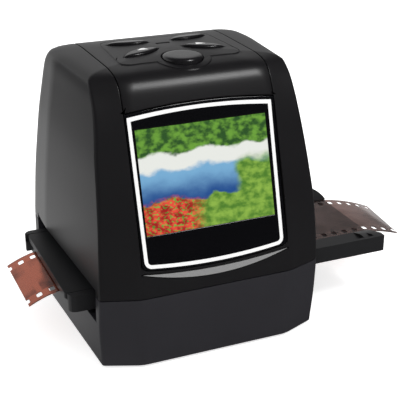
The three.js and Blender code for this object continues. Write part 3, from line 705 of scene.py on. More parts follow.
@dataclass(frozen=True)
class Landscape(Finish):
    """A lit picture of a lake between trees and a flower bed, on the pane's own map."""

    glow: float = 0.8
    unevenness: float = 0.22
    shore: Point = (0.28, 0.31)
    horizon: Point = (0.56, 0.62)
    treetops: Point = (0.72, 0.76)

    def make(self) -> Material:
        """Builds the material.

        Returns:
            The material.
        """
        sheet = self.sheet()
        pane = sheet.add("TexCoord").outputs["UV"]
        axes = sheet.add("SeparateXYZ", {0: pane})
        centred = sheet.math("SUBTRACT", sheet.noise(pane, scale=5, detail=4), 0.5)
        rough = sheet.math("MULTIPLY", centred, self.unevenness)
        up = sheet.math("ADD", axes.outputs[1], rough)
        side = sheet.math("SUBTRACT", axes.outputs[0], sheet.math("MULTIPLY", rough, 0.8))
        leaves = sheet.noise(pane, scale=16, detail=8)
        grass = sheet.mix(sheet.step(leaves, 0.3, 0.7), srgb("4f8228"), srgb("93bd4a"))
        trees = sheet.mix(sheet.step(leaves, 0.36, 0.66), srgb("2a5420"), srgb("6fa63a"))
        water = sheet.mix(sheet.step(up, 0.3, 0.56), srgb("1f4f93"), srgb("7db4dc"))
        red = sheet.mix(sheet.step(leaves, 0.4, 0.6), srgb("a81c18"), srgb("f0523c"))
        view = grass
        for (start, end), beyond in (
            (self.shore, water), (self.horizon, srgb("f2f4ee")), (self.treetops, trees)
        ):
            view = sheet.mix(sheet.step(up, start, end), view, beyond)
        bank = sheet.math("MULTIPLY", sheet.step(side, 0.7, 0.78), sheet.step(up, 0.66, 0.55))
        bed = sheet.math("MULTIPLY", sheet.step(side, 0.5, 0.34), sheet.step(up, 0.34, 0.26))
        petals = sheet.step(sheet.noise(pane, scale=44, detail=5), 0.38, 0.5)
        view = sheet.mix(bank, view, grass)
        view = sheet.mix(sheet.math("MULTIPLY", bed, petals), view, red)
        return sheet.surface({
            "Base Color": sheet.mix(0.9, view, (0.01, 0.01, 0.012)),
            "Roughness": sheet.spread(leaves, 0.05, 0.08),
            "Emission Color": view,
            "Emission Strength": self.glow,
        })


# The housing


def rounded(corners: Sequence[Triple], steps: int, between: int = 0) -> list[Point]:
    """Replaces each corner of a closed outline by an arc of its own radius.

    Args:
        corners: x, y and radius of each corner.
        steps: facets on each arc.
        between: extra points on each straight run.

    Returns:
        The outline's points.
    """
    arcs: list[list[Vector]] = []
    for index, (x, y, radius) in enumerate(corners):
        here = Vector((x, y))
        back = Vector(corners[index - 1][:2]) - here
        ahead = Vector(corners[(index + 1) % len(corners)][:2]) - here
        half_angle = back.angle(ahead) / 2
        reach = min(radius / math.tan(half_angle), min(back.length, ahead.length) / 2)
        start = here + back.normalized() * reach
        end = here + ahead.normalized() * reach
        shares = [step / steps for step in range(steps + 1)]
        arcs.append([start.lerp(here, s).lerp(here.lerp(end, s), s) for s in shares])
    points: list[Vector] = []
    for arc, following in zip(arcs, arcs[1:] + arcs[:1]):
        gaps = [(step + 1) / (between + 1) for step in range(between)]
        points += arc + [arc[-1].lerp(following[0], share) for share in gaps]
    return [(p.x, p.y) for p in points]


def smooth_levels(places: np.ndarray, knots: np.ndarray, wanted: np.ndarray) -> np.ndarray:
    """Passes smooth curves without overshoot through levels of points.

    Args:
        places: the levels, each with its points' coordinates.
        knots: each level's distance along the curves.
        wanted: the distances to read.

    Returns:
        The points at the wanted distances.
    """
    flat = places.reshape(len(knots), -1)
    span = np.diff(knots)[:, None]
    slope = np.diff(flat, axis=0) / span
    tangent = np.zeros_like(flat)
    before, after = slope[:-1], slope[1:]
    same = before * after > 0
    weight = 2 * span[1:] + span[:-1], span[1:] + 2 * span[:-1]
    bent = weight[0] / np.where(same, before, 1) + weight[1] / np.where(same, after, 1)
    tangent[1:-1] = np.where(same, (weight[0] + weight[1]) / bent, 0)
    tangent[0], tangent[-1] = slope[0], slope[-1]
    index = np.clip(np.searchsorted(knots, wanted, side="right") - 1, 0, len(knots) - 2)
    size = span[index]
    share = ((wanted - knots[index])[:, None]) / size
    square, cube = share ** 2, share ** 3
    made = (
        (2 * cube - 3 * square + 1) * flat[index]
        + (cube - 2 * square + share) * size * tangent[index]
        + (3 * square - 2 * cube) * flat[index + 1]
        + (cube - square) * size * tangent[index + 1]
    )
    return made.reshape(len(wanted), *places.shape[1:])


@dataclass
class HousingForm:
    """The housing's closed outer form, lofted through its sections.

    Each section gives its height, half width, front corner, front middle and back, as shares of
    the height, half width, front reach and back reach.
    """

    width: float = 84.0
    front: float = 45.5
    back: float = 48.0
    height: float = 103.2
    side_bow: float = 2.5
    back_draw: float = 1.2
    front_corner: float = 1.6
    least_corner: float = 0.3
    facet_radius: float = 12.0
    bow_radius: float = 60.0
    back_corner: float = 8.0
    facet_share: float = 0.68
    front_bow: float = 0.5
    bow_share: float = 0.45
    corner_steps: int = 10
    straight_steps: int = 3
    level_spacing: float = 2.2
    sections: tuple[tuple[float, float, float, float, float], ...] = (
        (0, 1.003, 0.846, 0.976, 0.986),
        (0.161, 1.022, 0.869, 0.989, 0.999),
        (0.262, 1.019, 0.885, 1, 1),
        (0.354, 1.01, 0.877, 0.98, 0.985),
        (0.489, 0.991, 0.85, 0.914, 0.958),
        (0.61, 0.968, 0.788, 0.838, 0.918),
        (0.717, 0.947, 0.715, 0.765, 0.875),
        (0.835, 0.915, 0.631, 0.686, 0.816),
        (0.891, 0.902, 0.572, 0.642, 0.775),
        (0.924, 0.897, 0.518, 0.613, 0.733),
        (0.945, 0.891, 0.472, 0.588, 0.687),
        (0.967, 0.877, 0.42, 0.542, 0.622),
        (0.981, 0.81, 0.35, 0.476, 0.553),
    )
    crown: tuple[float, ...] = (0.66, 0.33, 0.0)

    def section(self, shares: Sequence[float], inset: float) -> list[Point]:
        """One cross section.

        Args:
            shares: its row of sections.
            inset: how far it is drawn in.

        Returns:
            Its outline.
        """
        corner_x = self.width / 2 * shares[1] - inset
        corner_y = self.front * shares[2] - inset
        middle_y = self.front * shares[3] - inset
        back_y = self.back * shares[4] - inset
        side_x = corner_x + self.side_bow
        right = [
            (corner_x * self.facet_share, self.front_bow - middle_y, self.facet_radius),
            (corner_x, -corner_y, max(self.front_corner - inset, self.least_corner)),
            (side_x, back_y * self.bow_share, self.bow_radius),
            (side_x - self.back_draw, back_y, self.back_corner - inset),
        ]
        left = [(-x, y, radius) for x, y, radius in reversed(right)]
        return rounded(right + left, self.corner_steps, self.straight_steps)

    def levels(self, inset: float) -> np.ndarray:
        """The coarse rings from the underside to the peak.

        Args:
            inset: how far the form is drawn in.

        Returns:
            The rings' points, the last ring shrunk to one place.
        """
        squeeze = (self.height - inset) / self.height
        rings = []
        for shares in self.sections:
            z = self.height * shares[0] * squeeze
            rings.append([(x, y, z) for x, y in self.section(shares, inset)])
        last = np.array(rings[-1])
        centre = last.mean(0)
        peak = self.height * squeeze
        for share in self.crown:
            ring = centre + (last - centre) * share
            ring[:, 2] = peak - (peak - last[:, 2]) * share ** 2
            rings.append(ring)
        return np.array(rings, float)

    def mesh_data(self, inset: float) -> tuple[list[tuple[float, ...]], list[tuple[int, ...]]]:
        """Points and faces of the closed form.

        Args:
            inset: how far the form is drawn in.

        Returns:
            Its points and its faces.
        """
        coarse = self.levels(inset)
        travel = np.linalg.norm(np.diff(coarse, axis=0), axis=2).mean(1)
        knots = np.concatenate([[0], np.cumsum(travel)])
        wanted = [0.0]
        for start, end in zip(knots, knots[1:]):
            parts = max(round((end - start) / self.level_spacing), 2)
            wanted += [start + (end - start) * (step + 1) / parts for step in range(parts)]
        rings = smooth_levels(coarse, knots, np.array(wanted))
        count = rings.shape[1]
        points = [tuple(p) for ring in rings[:-1] for p in ring] + [tuple(rings[-1][0])]
        faces: list[tuple[int, ...]] = [tuple(reversed(range(count)))]
        top, peak = (len(rings) - 2) * count, len(points) - 1
        for low in range(0, top, count):
            for side in range(count):
                after = (side + 1) % count
                faces.append((low + side, low + after, low + count + after, low + count + side))
        faces += [(top + side, top + (side + 1) % count, peak) for side in range(count)]
        return points, faces

    def solid(self, inset: float = 0.0) -> Piece:
        """The closed form as an object."""
        return mesh_piece("form", *self.mesh_data(inset))

    def surface(self) -> BVHTree:
        """The outer surface, to set pieces on."""
        return BVHTree.FromPolygons(*self.mesh_data(0.0))


def drop_onto(surface: BVHTree, x: float, y: float, start: float = 140.0) -> float:
    """The height of a surface under a point."""
    return surface.ray_cast(Vector((x, y, start)), Vector((0, 0, -1)))[0].z


@dataclass
class ScreenPlane:
    """The screen's own plane: u across, v up the slope, w out of its face."""

    y: float = -34.2
    z: float = 66.2
    tilt: float = math.radians(15.8)

    def put(self, obj: Piece) -> Piece:
        """Moves a mesh made in the plane to its place.

        Args:
            obj: the object.

        Returns:
            The same object.
        """
        up = (0, math.sin(self.tilt), math.cos(self.tilt))
        out = (0, -math.cos(self.tilt), math.sin(self.tilt))
        turn = Matrix(((1, 0, 0), up, out)).transposed().to_4x4()
        obj.data.transform(Matrix.Translation((0, self.y, self.z)) @ turn)
        return obj


@dataclass
class Screen:
    """The glossy window with its white line, the lit picture and the silver crescent below."""

    plane: ScreenPlane
    half_width: float = 28.0
    top: float = 24.0
    bottom: float = 30.2
    swell: float = 1.7
    corner: float = 2.6
    low_w: float = 0.3
    high_w: float = 1.8
    beyond: float = 20.0
    clear_back: float = 5.0
    clear_front: float = 9.0
    picture_width: float = 48.96
    picture_height: float = 36.72
    picture_shift: float = -0.5
    picture_seat: float = 0.04
    panel_width: float = 51.5
    panel_height: float = 40.0
    panel_back: float = 2.4
    line_half_top: float = 27.1
    line_half_bottom: float = 26.75
    line_top: float = 22.8
    line_bottom: float = 29.7
    line_swells: Point = (1.4, 1.6)
    line_corner: float = 2.8
    line_width: float = 1.3
    line_shift: float = -0.3
    line_depth: float = 0.2
    line_rise: float = 0.03
    crescent_drop: float = 1.3
    crescent_top: float = 1.9
    crescent_bottom: float = 4.4
    crescent_back: float = 0.6
    steps: int = 28
    arc_steps: int = 8

    def shares(self) -> list[float]:
        """Evenly spaced places from -1 to 1."""
        return [2 * step / self.steps - 1 for step in range(self.steps + 1)]

    def swelling(
        self, halves: Point, bottom: float, top: float, radius: float, swells: Point
    ) -> list[Point]:
        """A closed outline whose bottom and top swell, with round lower corners.

        Args:
            halves: half its width at the bottom and at the top.
            bottom: the height of its lower corners.
            top: the height of its upper corners.
            radius: the lower corners' radius.
            swells: how far the bottom and the top swell.

        Returns:
            The outline's points.
        """
        low, high = halves
        centre_x, centre_y = low - radius, bottom + radius
        points = [(centre_x * s, bottom - swells[0] * (1 - s ** 2)) for s in self.shares()]
        angles = [math.pi / 2 * (step + 1) / self.arc_steps for step in range(self.arc_steps)]
        arc = [(centre_x + radius * math.sin(a), centre_y - radius * math.cos(a)) for a in angles]
        points += arc
        points += [(-high * s, top + swells[1] * (1 - s ** 2)) for s in self.shares()]
        return points + [(-x, y) for x, y in reversed(arc)]

    def outline(self, grow: float = 0.0) -> list[Point]:
        """The window's edge, grown all round."""
        half, bottom = self.half_width + grow, -(self.bottom + grow)
        swells = self.swell, self.swell
        return self.swelling((half, half), bottom, self.top + grow, self.corner + grow, swells)

    def line_outline(self, inset: float) -> list[Point]:
        """One edge of the white line, drawn in from its outer edge."""
        halves = self.line_half_bottom - inset, self.line_half_top - inset
        bottom, top = -self.line_bottom + inset, self.line_top - inset
        return self.swelling(halves, bottom, top, self.line_corner - inset, self.line_swells)

    def crescent_outline(self, grow: float = 0.0) -> list[Point]:
        """Two arcs that meet in the crescent's tips.

        Args:
            grow: how far the outline stands outside the crescent.

        Returns:
            The outline's points.
        """
        tip = -(self.bottom + self.crescent_drop)
        half, low, high = self.half_width + grow, self.crescent_bottom, self.crescent_top
        lower = [(half * s, tip - low * (1 - s ** 2) - grow) for s in self.shares()]
        upper = [(half * s, tip - high * (1 - s ** 2) + grow) for s in reversed(self.shares())]
        return lower + (upper if grow > 0 else upper[1:-1])

    def window(self, finish: Material) -> None:
        """The glossy frame with a clear opening for the picture.

        Args:
            finish: its material.
        """
        obj = prism("window", self.outline(), self.low_w, self.high_w)
        half = self.picture_width / 2, self.picture_height / 2
        left, right = self.picture_shift - half[0], self.picture_shift + half[0]
        carve(obj, block((left, -half[1], -self.clear_back), (right, half[1], self.clear_front)))
        soften(self.plane.put(obj), 0.4, 3)
        dress(obj, "screen_window", "housing", finish, ["screen_lens"])

    def line(self, finish: Material) -> None:
        """The thin white line printed round the window.

        Args:
            finish: its material.
        """
        low, high = self.high_w - self.line_depth, self.high_w + self.line_rise
        obj = prism("line", self.line_outline(0), low, high)
        carve(obj, prism("hole", self.line_outline(self.line_width), 0, self.clear_front))
        shift(obj, self.line_shift, 0, 0)
        shade(self.plane.put(obj))
        dress(obj, "screen_white_line", "housing", finish)

    def picture(self, finish: Material) -> None:
        """The display, stepped forward into the window's opening, with the picture on its face.

        Args:
            finish: its material.
        """
        half_u, half_v = self.panel_width / 2, self.panel_height / 2
        step_in = (self.panel_width - self.picture_width) / 2
        obj = block((-half_u, -half_v, -self.panel_back), (half_u, half_v, 0))
        pick_faces(obj, faces_up)
        bpy.ops.mesh.inset(thickness=step_in)
        squeeze = self.picture_height / (self.panel_height - 2 * step_in)
        bpy.ops.transform.resize(value=(1, squeeze, 1))
        extrude_up(self.high_w - self.picture_seat)
        leave_edit()
        layer = obj.data.uv_layers[0]
        for loop in obj.data.loops:
            u, v, _ = obj.data.vertices[loop.vertex_index].co
            layer.data[loop.index].uv = u / self.picture_width + 0.5, v / self.picture_height + 0.5
        shift(obj, self.picture_shift, 0, 0)
        shade(self.plane.put(obj))
        dress(obj, "screen_picture", "housing", finish, ["display_panel"])

    def crescent(self, form: HousingForm, finish: Material) -> None:
        """The silver trim below the window, flush with the housing.

        Args:
            form: the housing's form.
            finish: the trim's material.
        """
        outline = self.crescent_outline()
        obj = self.plane.put(prism("crescent", outline, -self.crescent_back, self.beyond))
        carve(obj, form.solid(), Cut.KEEP)
        soften(obj, 0.12, clamp=True)
        dress(obj, "silver_crescent", "housing", finish, ["screen_trim"])


@dataclass
class Shells:
    """The two halves of the housing and the strip over its top."""

    form: HousingForm
    screen: Screen
    wall: float = 2.2
    floor: float = 2.5
    parting: float = 27.0
    cavity_top: float = 57.0
    cut_low: float = -20.0
    cut_high: float = 60.0
    cut_side: float = 100.0
    strip_half: float = 28.0
    strip_low: float = 88.0
    slot_reach: float = 90.0
    slot_half: float = 36.0
    slot_low: float = 17.0
    slot_high: float = 29.6
    surround_margin: float = 3.2
    surround_back: float = 2.0
    surround_front: float = 4.0
    panel_room: float = 10.0
    feet: Point = (32.0, 27.0)
    foot_radius: float = 5.0
    foot_seat: float = 0.5
    bosses: Point = (29.0, 38.0)
    boss_radius: float = 3.6
    boss_rise: float = 9.0
    screw_radius: float = 1.25
    screw_head_radius: float = 2.6
    screw_seat: float = 2.7
    screw_depth: float = 7.3
    screw_sides: int = 24
    foot_sides: int = 64
    port_y: float = 36.0
    port_z: float = 47.6
    ports: tuple[Triple, ...] = ((-18.3, -9.7, 3.8), (-2.8, 24.8, 4.0))  # left, right, height
    sliver: float = 0.03
    rounding: float = 0.25
    field_x: float = 22.4
    field_flare: float = 1.0
    field_front: float = -14.3
    field_back: float = 19.0
    field_corner: float = 5.0
    field_low: float = 96.0
    field_rise: float = 0.22
    field_depth: float = 0.4
    lobe_radius: float = 10.3
    lobe_y: float = -12.5
    lobe_sides: int = 96

    def layer(self, low: float, high: float) -> Piece:
        """Everything between two heights."""
        return block((-FAR, -FAR, low), (FAR, FAR, high))

    def slot(self) -> Piece:
        """What the carrier's slot takes out of both sides."""
        reach, half = self.slot_reach, self.slot_half
        return block((-reach, -half, self.slot_low), (reach, half, self.slot_high))

    def finish_shell(self, obj: Piece, name: str, finish: Material, node: str) -> None:
        """Clears slivers, rounds the edges, shades the rest smooth and dresses the shell.

        Args:
            obj: the shell.
            name: its name.
            finish: its material.
            node: the CAD node that it replaces.
        """
        weld(obj, self.sliver)
        soften(obj, self.rounding)
        dress(obj, name, "housing", finish, [node])

    def lower(self, finish: Material) -> None:
        """The lower half with its screw bosses and the seats of its feet.

        Args:
            finish: its material.
        """
        obj = self.form.solid()
        carve(obj, self.layer(UNDER, self.parting), Cut.KEEP)
        cavity = self.form.solid(self.wall)
        carve(cavity, self.layer(self.floor, self.cavity_top), Cut.KEEP)
        carve(obj, cavity)
        carve(obj, self.slot())
        bosses = four_posts(self.bosses, self.boss_radius, self.floor / 2, self.parting)
        carve(obj, bosses, Cut.JOIN)
        for places, radius, high, sides in (
            (self.bosses, self.screw_radius, self.cut_high, self.screw_sides),
            (self.bosses, self.screw_head_radius, self.screw_seat, 2 * self.screw_sides),
            (self.feet, self.foot_radius, self.foot_seat, self.foot_sides),
        ):
            carve(obj, four_posts(places, radius + GAP, self.cut_low, high, sides))
        self.finish_shell(obj, "lower_housing", finish, "base_shell")

    def body(self) -> Piece:
        """The hollow upper body with the screen's recess, before the strip is parted from it.

        Returns:
            The body.
        """
        screen, beyond = self.screen, self.screen.beyond
        low = -(screen.bottom + screen.swell + self.surround_margin)
        high = screen.top + screen.swell + self.surround_margin
        reach = screen.half_width + self.surround_margin
        surround = block((-reach, low, -self.surround_back), (reach, high, self.surround_front))
        cavity = self.form.solid(self.wall)
        carve(cavity, screen.plane.put(surround))
        obj = self.form.solid()
        carve(obj, cavity)
        half_u, half_v = screen.panel_width / 2 + GAP, screen.panel_height / 2 + GAP
        back = -screen.crescent_back - GAP
        for tool in (
            prism("recess", screen.outline(GAP), 0, beyond),
            block((-half_u, -half_v, -self.panel_room), (half_u, half_v, beyond)),
            prism("pocket", screen.crescent_outline(GAP), back, beyond),
        ):
            carve(obj, screen.plane.put(tool))
        carve(obj, self.layer(self.parting + GAP, ABOVE), Cut.KEEP)
        return obj

    def upper(self, obj: Piece, finish: Material) -> None:
        """The upper half with the seats of its screws and the openings at its back.

        Args:
            obj: the upper body.
            finish: its material.
        """
        strip, reach, low = self.strip_half + GAP, self.cut_side, self.parting + GAP
        carve(obj, block((-strip, -reach, self.strip_low), (strip, reach, ABOVE)))
        carve(obj, self.slot())
        top, depth = self.parting + self.boss_rise, self.parting + self.screw_depth
        carve(obj, four_posts(self.bosses, self.boss_radius - GAP, low, top), Cut.JOIN)
        screws = four_posts(self.bosses, self.screw_radius + GAP, 0, depth, self.screw_sides)
        carve(obj, screws)
        carve(obj, joined([
            block((left, self.port_y, self.port_z), (right, reach, self.port_z + height))
            for left, right, height in self.ports
        ]))
        self.finish_shell(obj, "upper_housing", finish, "upper_shell")

    def plateau(self) -> Piece:
        """The slightly raised field round the keys, with a round lobe in front of the large one.

        Returns:
            The field, a thin curved plate.
        """
        front, back, radius = self.field_front, self.field_back, self.field_corner
        wide, narrow = self.field_x + self.field_flare, self.field_x - self.field_flare
        corners = [(-wide, front), (wide, front), (narrow, back), (-narrow, back)]
        outline = rounded([(*corner, radius) for corner in corners], 8)
        field = prism("field", outline, self.field_low, ABOVE)
        lobe = post(self.lobe_radius, self.field_low, ABOVE, 0, self.lobe_y, self.lobe_sides)
        carve(field, lobe, Cut.JOIN)
        obj, under = self.form.solid(), self.form.solid()
        shift(obj, 0, 0, self.field_rise)
        shift(under, 0, 0, -self.field_depth)
        carve(obj, field, Cut.KEEP)
        carve(obj, under)
        return obj

    def strip(self, obj: Piece, holes: Sequence[Piece], finish: Material) -> None:
        """The strip over the top, with a hole for each key.

        Args:
            obj: the upper body.
            holes: what the keys take out of it.
            finish: its material.
        """
        half, reach, low = self.strip_half, self.cut_side, self.strip_low + GAP
        carve(obj, block((-half, -reach, low), (half, reach, ABOVE)), Cut.KEEP)
        carve(obj, self.plateau(), Cut.JOIN)
        carve(obj, joined(holes))
        self.finish_shell(obj, "top_strip", finish, "front_cover")


# The keys


@dataclass(kw_only=True)
class Key:
    """What all keys share: a flange under the strip and a stem down to the switch."""

    low: float = 95.6
    flange_top: float = 97.0
    stem_low: float = 92.8
    stem_radius: float = 1.8
    hole_low: float = 80.0

    def stand(self, obj: Piece, flange: Piece, seat: Point, nearness: float) -> None:
        """Joins the flange and the stem to a key's cap.

        Args:
            obj: the cap.
            flange: the flange.
            seat: where the stem stands.
            nearness: points nearer than this are merged.
        """
        carve(obj, flange, Cut.JOIN)
        carve(obj, post(self.stem_radius, self.stem_low, self.flange_top, *seat), Cut.JOIN)
        weld(obj, nearness)
        shade(obj, CURVED)


@dataclass
class LeafKey(Key):
    """A key between two arcs, with a rounded edge that stands up from the strip."""

    side: str
    x: float
    y: float
    turn: float
    seat_y: float
    surface: BVHTree
    pointing: int
    length: float = 16.0
    front_swell: float = 2.9
    back_swell: float = 3.7
    flange_width: float = 0.9
    columns: int = 36
    rows: int = 16
    raised: float = 1.25
    fall: float = 0.3
    edge_drop: float = 0.6
    arrow_tip: float = 2.1
    arrow_base: float = 1.5
    arrow_half: float = 1.9
    arrow_shift: float = 1.1

    def place(self, u: float, v: float) -> Point:
        """From the key's own length and width to the housing's axes."""
        sine, cosine = math.sin(math.radians(self.turn)), math.cos(math.radians(self.turn))
        return self.x + u * cosine - v * sine, self.y + u * sine + v * cosine

    def outline(self, grow: float) -> list[Point]:
        """The key's edge.

        Args:
            grow: how far it is grown all round.

        Returns:
            The outline's points.
        """
        half = self.length / 2 + grow
        points = []
        for sign, swell in ((-1, self.front_swell), (1, self.back_swell)):
            for step in range(self.columns):
                share = (2 * step / self.columns - 1) * -sign
                points.append(self.place(half * share, sign * (swell + grow) * (1 - share ** 2)))
        return points

    def hole(self) -> Piece:
        """What the key's hole takes out of the strip."""
        return prism("hole", self.outline(GAP), self.hole_low, ABOVE)

    def rise(self, share: float, across: float) -> float:
        """How far the top stands above the strip: rounded at its edge and low at its tips."""
        level = self.raised * (1 - self.fall * (1 + across) / 2)
        return level * (1 - share ** 4) ** 0.5 - self.edge_drop * abs(across) ** 7

    def cap(self) -> Piece:
        """The key's top and the walls below it.

        Returns:
            The closed cap.
        """
        tops = []
        for column in range(self.columns + 1):
            share = 2 * column / self.columns - 1
            for row in range(self.rows + 1):
                across = math.sin(math.pi / 2 * (2 * row / self.rows - 1))
                swell = self.front_swell if across < 0 else self.back_swell
                x, y = self.place(self.length / 2 * share, swell * (1 - share ** 2) * across)
                tops.append((x, y, drop_onto(self.surface, x, y) + self.rise(share, across)))
        stride, count = self.rows + 1, len(tops)
        faces = []
        for column in range(self.columns):
            front = column * stride
            for a in range(front, front + self.rows):
                b, c, d = a + stride, a + stride + 1, a + 1
                faces += [(a, b, c, d), (count + d, count + c, count + b, count + a)]
            back = front + self.rows
            faces.append((front, count + front, count + front + stride, front + stride))
            faces.append((back + stride, count + back + stride, count + back, back))
        obj = mesh_piece("cap", tops + [(x, y, self.low) for x, y, _ in tops], faces)
        weld(obj, 0.01)
        edit_all(obj)
        face_outwards()
        return obj

    def arrow(self, top: BVHTree) -> Piece:
        """The printed arrow that points away from the round key.

        Args:
            top: the cap's surface.

        Returns:
            The arrow.
        """
        tip, base = self.arrow_tip * self.pointing, -self.arrow_base * self.pointing
        inward = -self.pointing * self.arrow_shift
        marks = ((tip, 0), (base, self.arrow_half), (base, -self.arrow_half))
        return inlay("arrow", [self.place(u + inward, v + self.arrow_shift) for u, v in marks], top)

    def build(self, finish: Material, print_finish: Material) -> None:
        """Makes the key with its flange and stem, and its arrow if it has one.

        Args:
            finish: the key's material.
            print_finish: the arrow's material.
        """
        body = f"{self.side}_key"
        obj = self.cap()
        top = BVHTree.FromObject(obj, bpy.context.evaluated_depsgraph_get())
        flange = prism("flange", self.outline(self.flange_width), self.low, self.flange_top)
        self.stand(obj, flange, (self.x, self.seat_y), 0.01)
        dress(obj, f"leaf_button_{self.side}", body, finish, [f"key_{self.side}"])
        if self.pointing:
            dress(self.arrow(top), f"arrow_{self.side}", body, print_finish)


def inlay(
    name: str, corners: Sequence[Point], surface: BVHTree,
    lift: float = 0.04, depth: float = 0.25, rows: int = 8,
) -> Piece:
    """A thin printed triangle that follows the surface under it.

    Args:
        name: the mark's name.
        corners: its three corners in X and Y.
        surface: what it lies on.
        lift: how far it stands up.
        depth: how far it reaches down.
        rows: how many rows of facets it has.

    Returns:
        The closed mark.
    """
    first, second, third = (Vector(corner) for corner in corners)
    points, faces = [], []
    for row in range(rows + 1):
        for column in range(row + 1):
            place = first.lerp(second, row / rows) + (third - second) * (column / rows)
            points.append((place.x, place.y, drop_onto(surface, place.x, place.y) + lift))
    for row in range(rows):
        above, below = row * (row + 1) // 2, (row + 1) * (row + 2) // 2
        for column in range(row + 1):
            faces.append((above + column, below + column, below + column + 1))
            if column < row:
                faces.append((above + column, below + column + 1, above + column + 1))
    obj = mesh_piece(name, points, faces)
    if obj.data.polygons[0].normal.z < 0:
        obj.data.flip_normals()
    thicken(obj, depth, -1)
    return obj


def thicken(obj: Piece, thickness: float, offset: float) -> None:
    """Gives a sheet its thickness.

    Args:
        obj: the sheet.
        thickness: how thick it becomes.
        offset: -1 to grow inwards, 0 to both sides.
    """
    thick = obj.modifiers.new("thick", "SOLIDIFY")
    thick.thickness = thickness
    thick.offset = offset
    apply_modifier(obj, thick)


@dataclass
class ScanKey(Key):
    """The large round key: a low dome with a well rounded edge, given as insets and rises."""

    y: float = -12.5
    seat_y: float = -13.2
    radius: float = 7.35
    flange_radius: float = 9.1
    wall_top: float = 102.5
    sides: int = 96
    profile: tuple[Point, ...] = (
        (0.07, 0.3), (0.14, 0.3), (0.22, 0.24), (0.32, 0.2),
        (0.45, 0.14), (0.6, 0.08), (1.0, 0.05), (2.0, 0.03),
    )

    def hole(self) -> Piece:
        """What the key's hole takes out of the strip."""
        return post(self.radius + GAP, self.hole_low, ABOVE, 0, self.y, self.sides)

    def build(self, finish: Material) -> None:
        """Makes the key with its flange and stem.

        Args:
            finish: its material.
        """
        obj = post(self.radius, self.low, self.wall_top, 0, self.y, self.sides)
        pick_faces(obj, faces_up)
        for inset, rise in self.profile:
            bpy.ops.mesh.inset(thickness=inset)
            bpy.ops.transform.translate(value=(0, 0, rise))
        leave_edit()
        seat = 0, self.seat_y
        flange = post(self.flange_radius, self.low, self.flange_top, *seat, self.sides)
        self.stand(obj, flange, seat, 0.005)
        dress(obj, "scan_button", "scan_key", finish, ["key_scan"])


@dataclass
class TopKeys:
    """All five keys and the light slit among them."""

    surface: BVHTree
    leaf_x: float = 12.0
    front_y: float = -3.0
    rear_y: float = 11.8
    front_turn: float = -19.0
    rear_turn: float = 12.0
    front_seat: float = -1.6
    rear_seat: float = 14.0
    slit_y: float = 6.6
    slit_length: float = 4.6
    slit_width: float = 1.1
    slit_low: float = 80.0

    def __post_init__(self) -> None:
        """Places the keys, each row's left one mirroring its right one."""
        front = self.front_y, self.front_turn, self.front_seat, 1
        rear = self.rear_y, self.rear_turn, self.rear_seat, 0
        self.round_key = ScanKey()
        self.leaves = [
            LeafKey(f"{row}_{side}", sign * self.leaf_x, y, sign * turn, seat, self.surface,
                    sign * pointing)
            for row, (y, turn, seat, pointing) in (("front", front), ("rear", rear))
            for side, sign in (("left", -1), ("right", 1))
        ]

    def holes(self) -> list[Piece]:
        """What the keys and the slit take out of the strip.

        Returns:
            The cutting solids.
        """
        half_x, half_y = self.slit_length / 2 + GAP, self.slit_width / 2 + GAP
        low, high = (-half_x, self.slit_y - half_y), (half_x, self.slit_y + half_y)
        slit = block((*low, self.slit_low), (*high, ABOVE))
        return [self.round_key.hole(), slit] + [leaf.hole() for leaf in self.leaves]

    def build(self, finish: Material, print_finish: Material, light: Material) -> None:
        """Makes the keys and the light slit.

        Args:
            finish: the keys' material.
            print_finish: the arrows' material.
            light: the slit's material.
        """
        self.round_key.build(finish)
        for leaf in self.leaves:
            leaf.build(finish, print_finish)
        slit = node_copy("status_light", "slit")
        soften(slit, 0.15, clamp=True)
        dress(slit, "light_slit", "housing", light, ["status_light"])


# The carrier


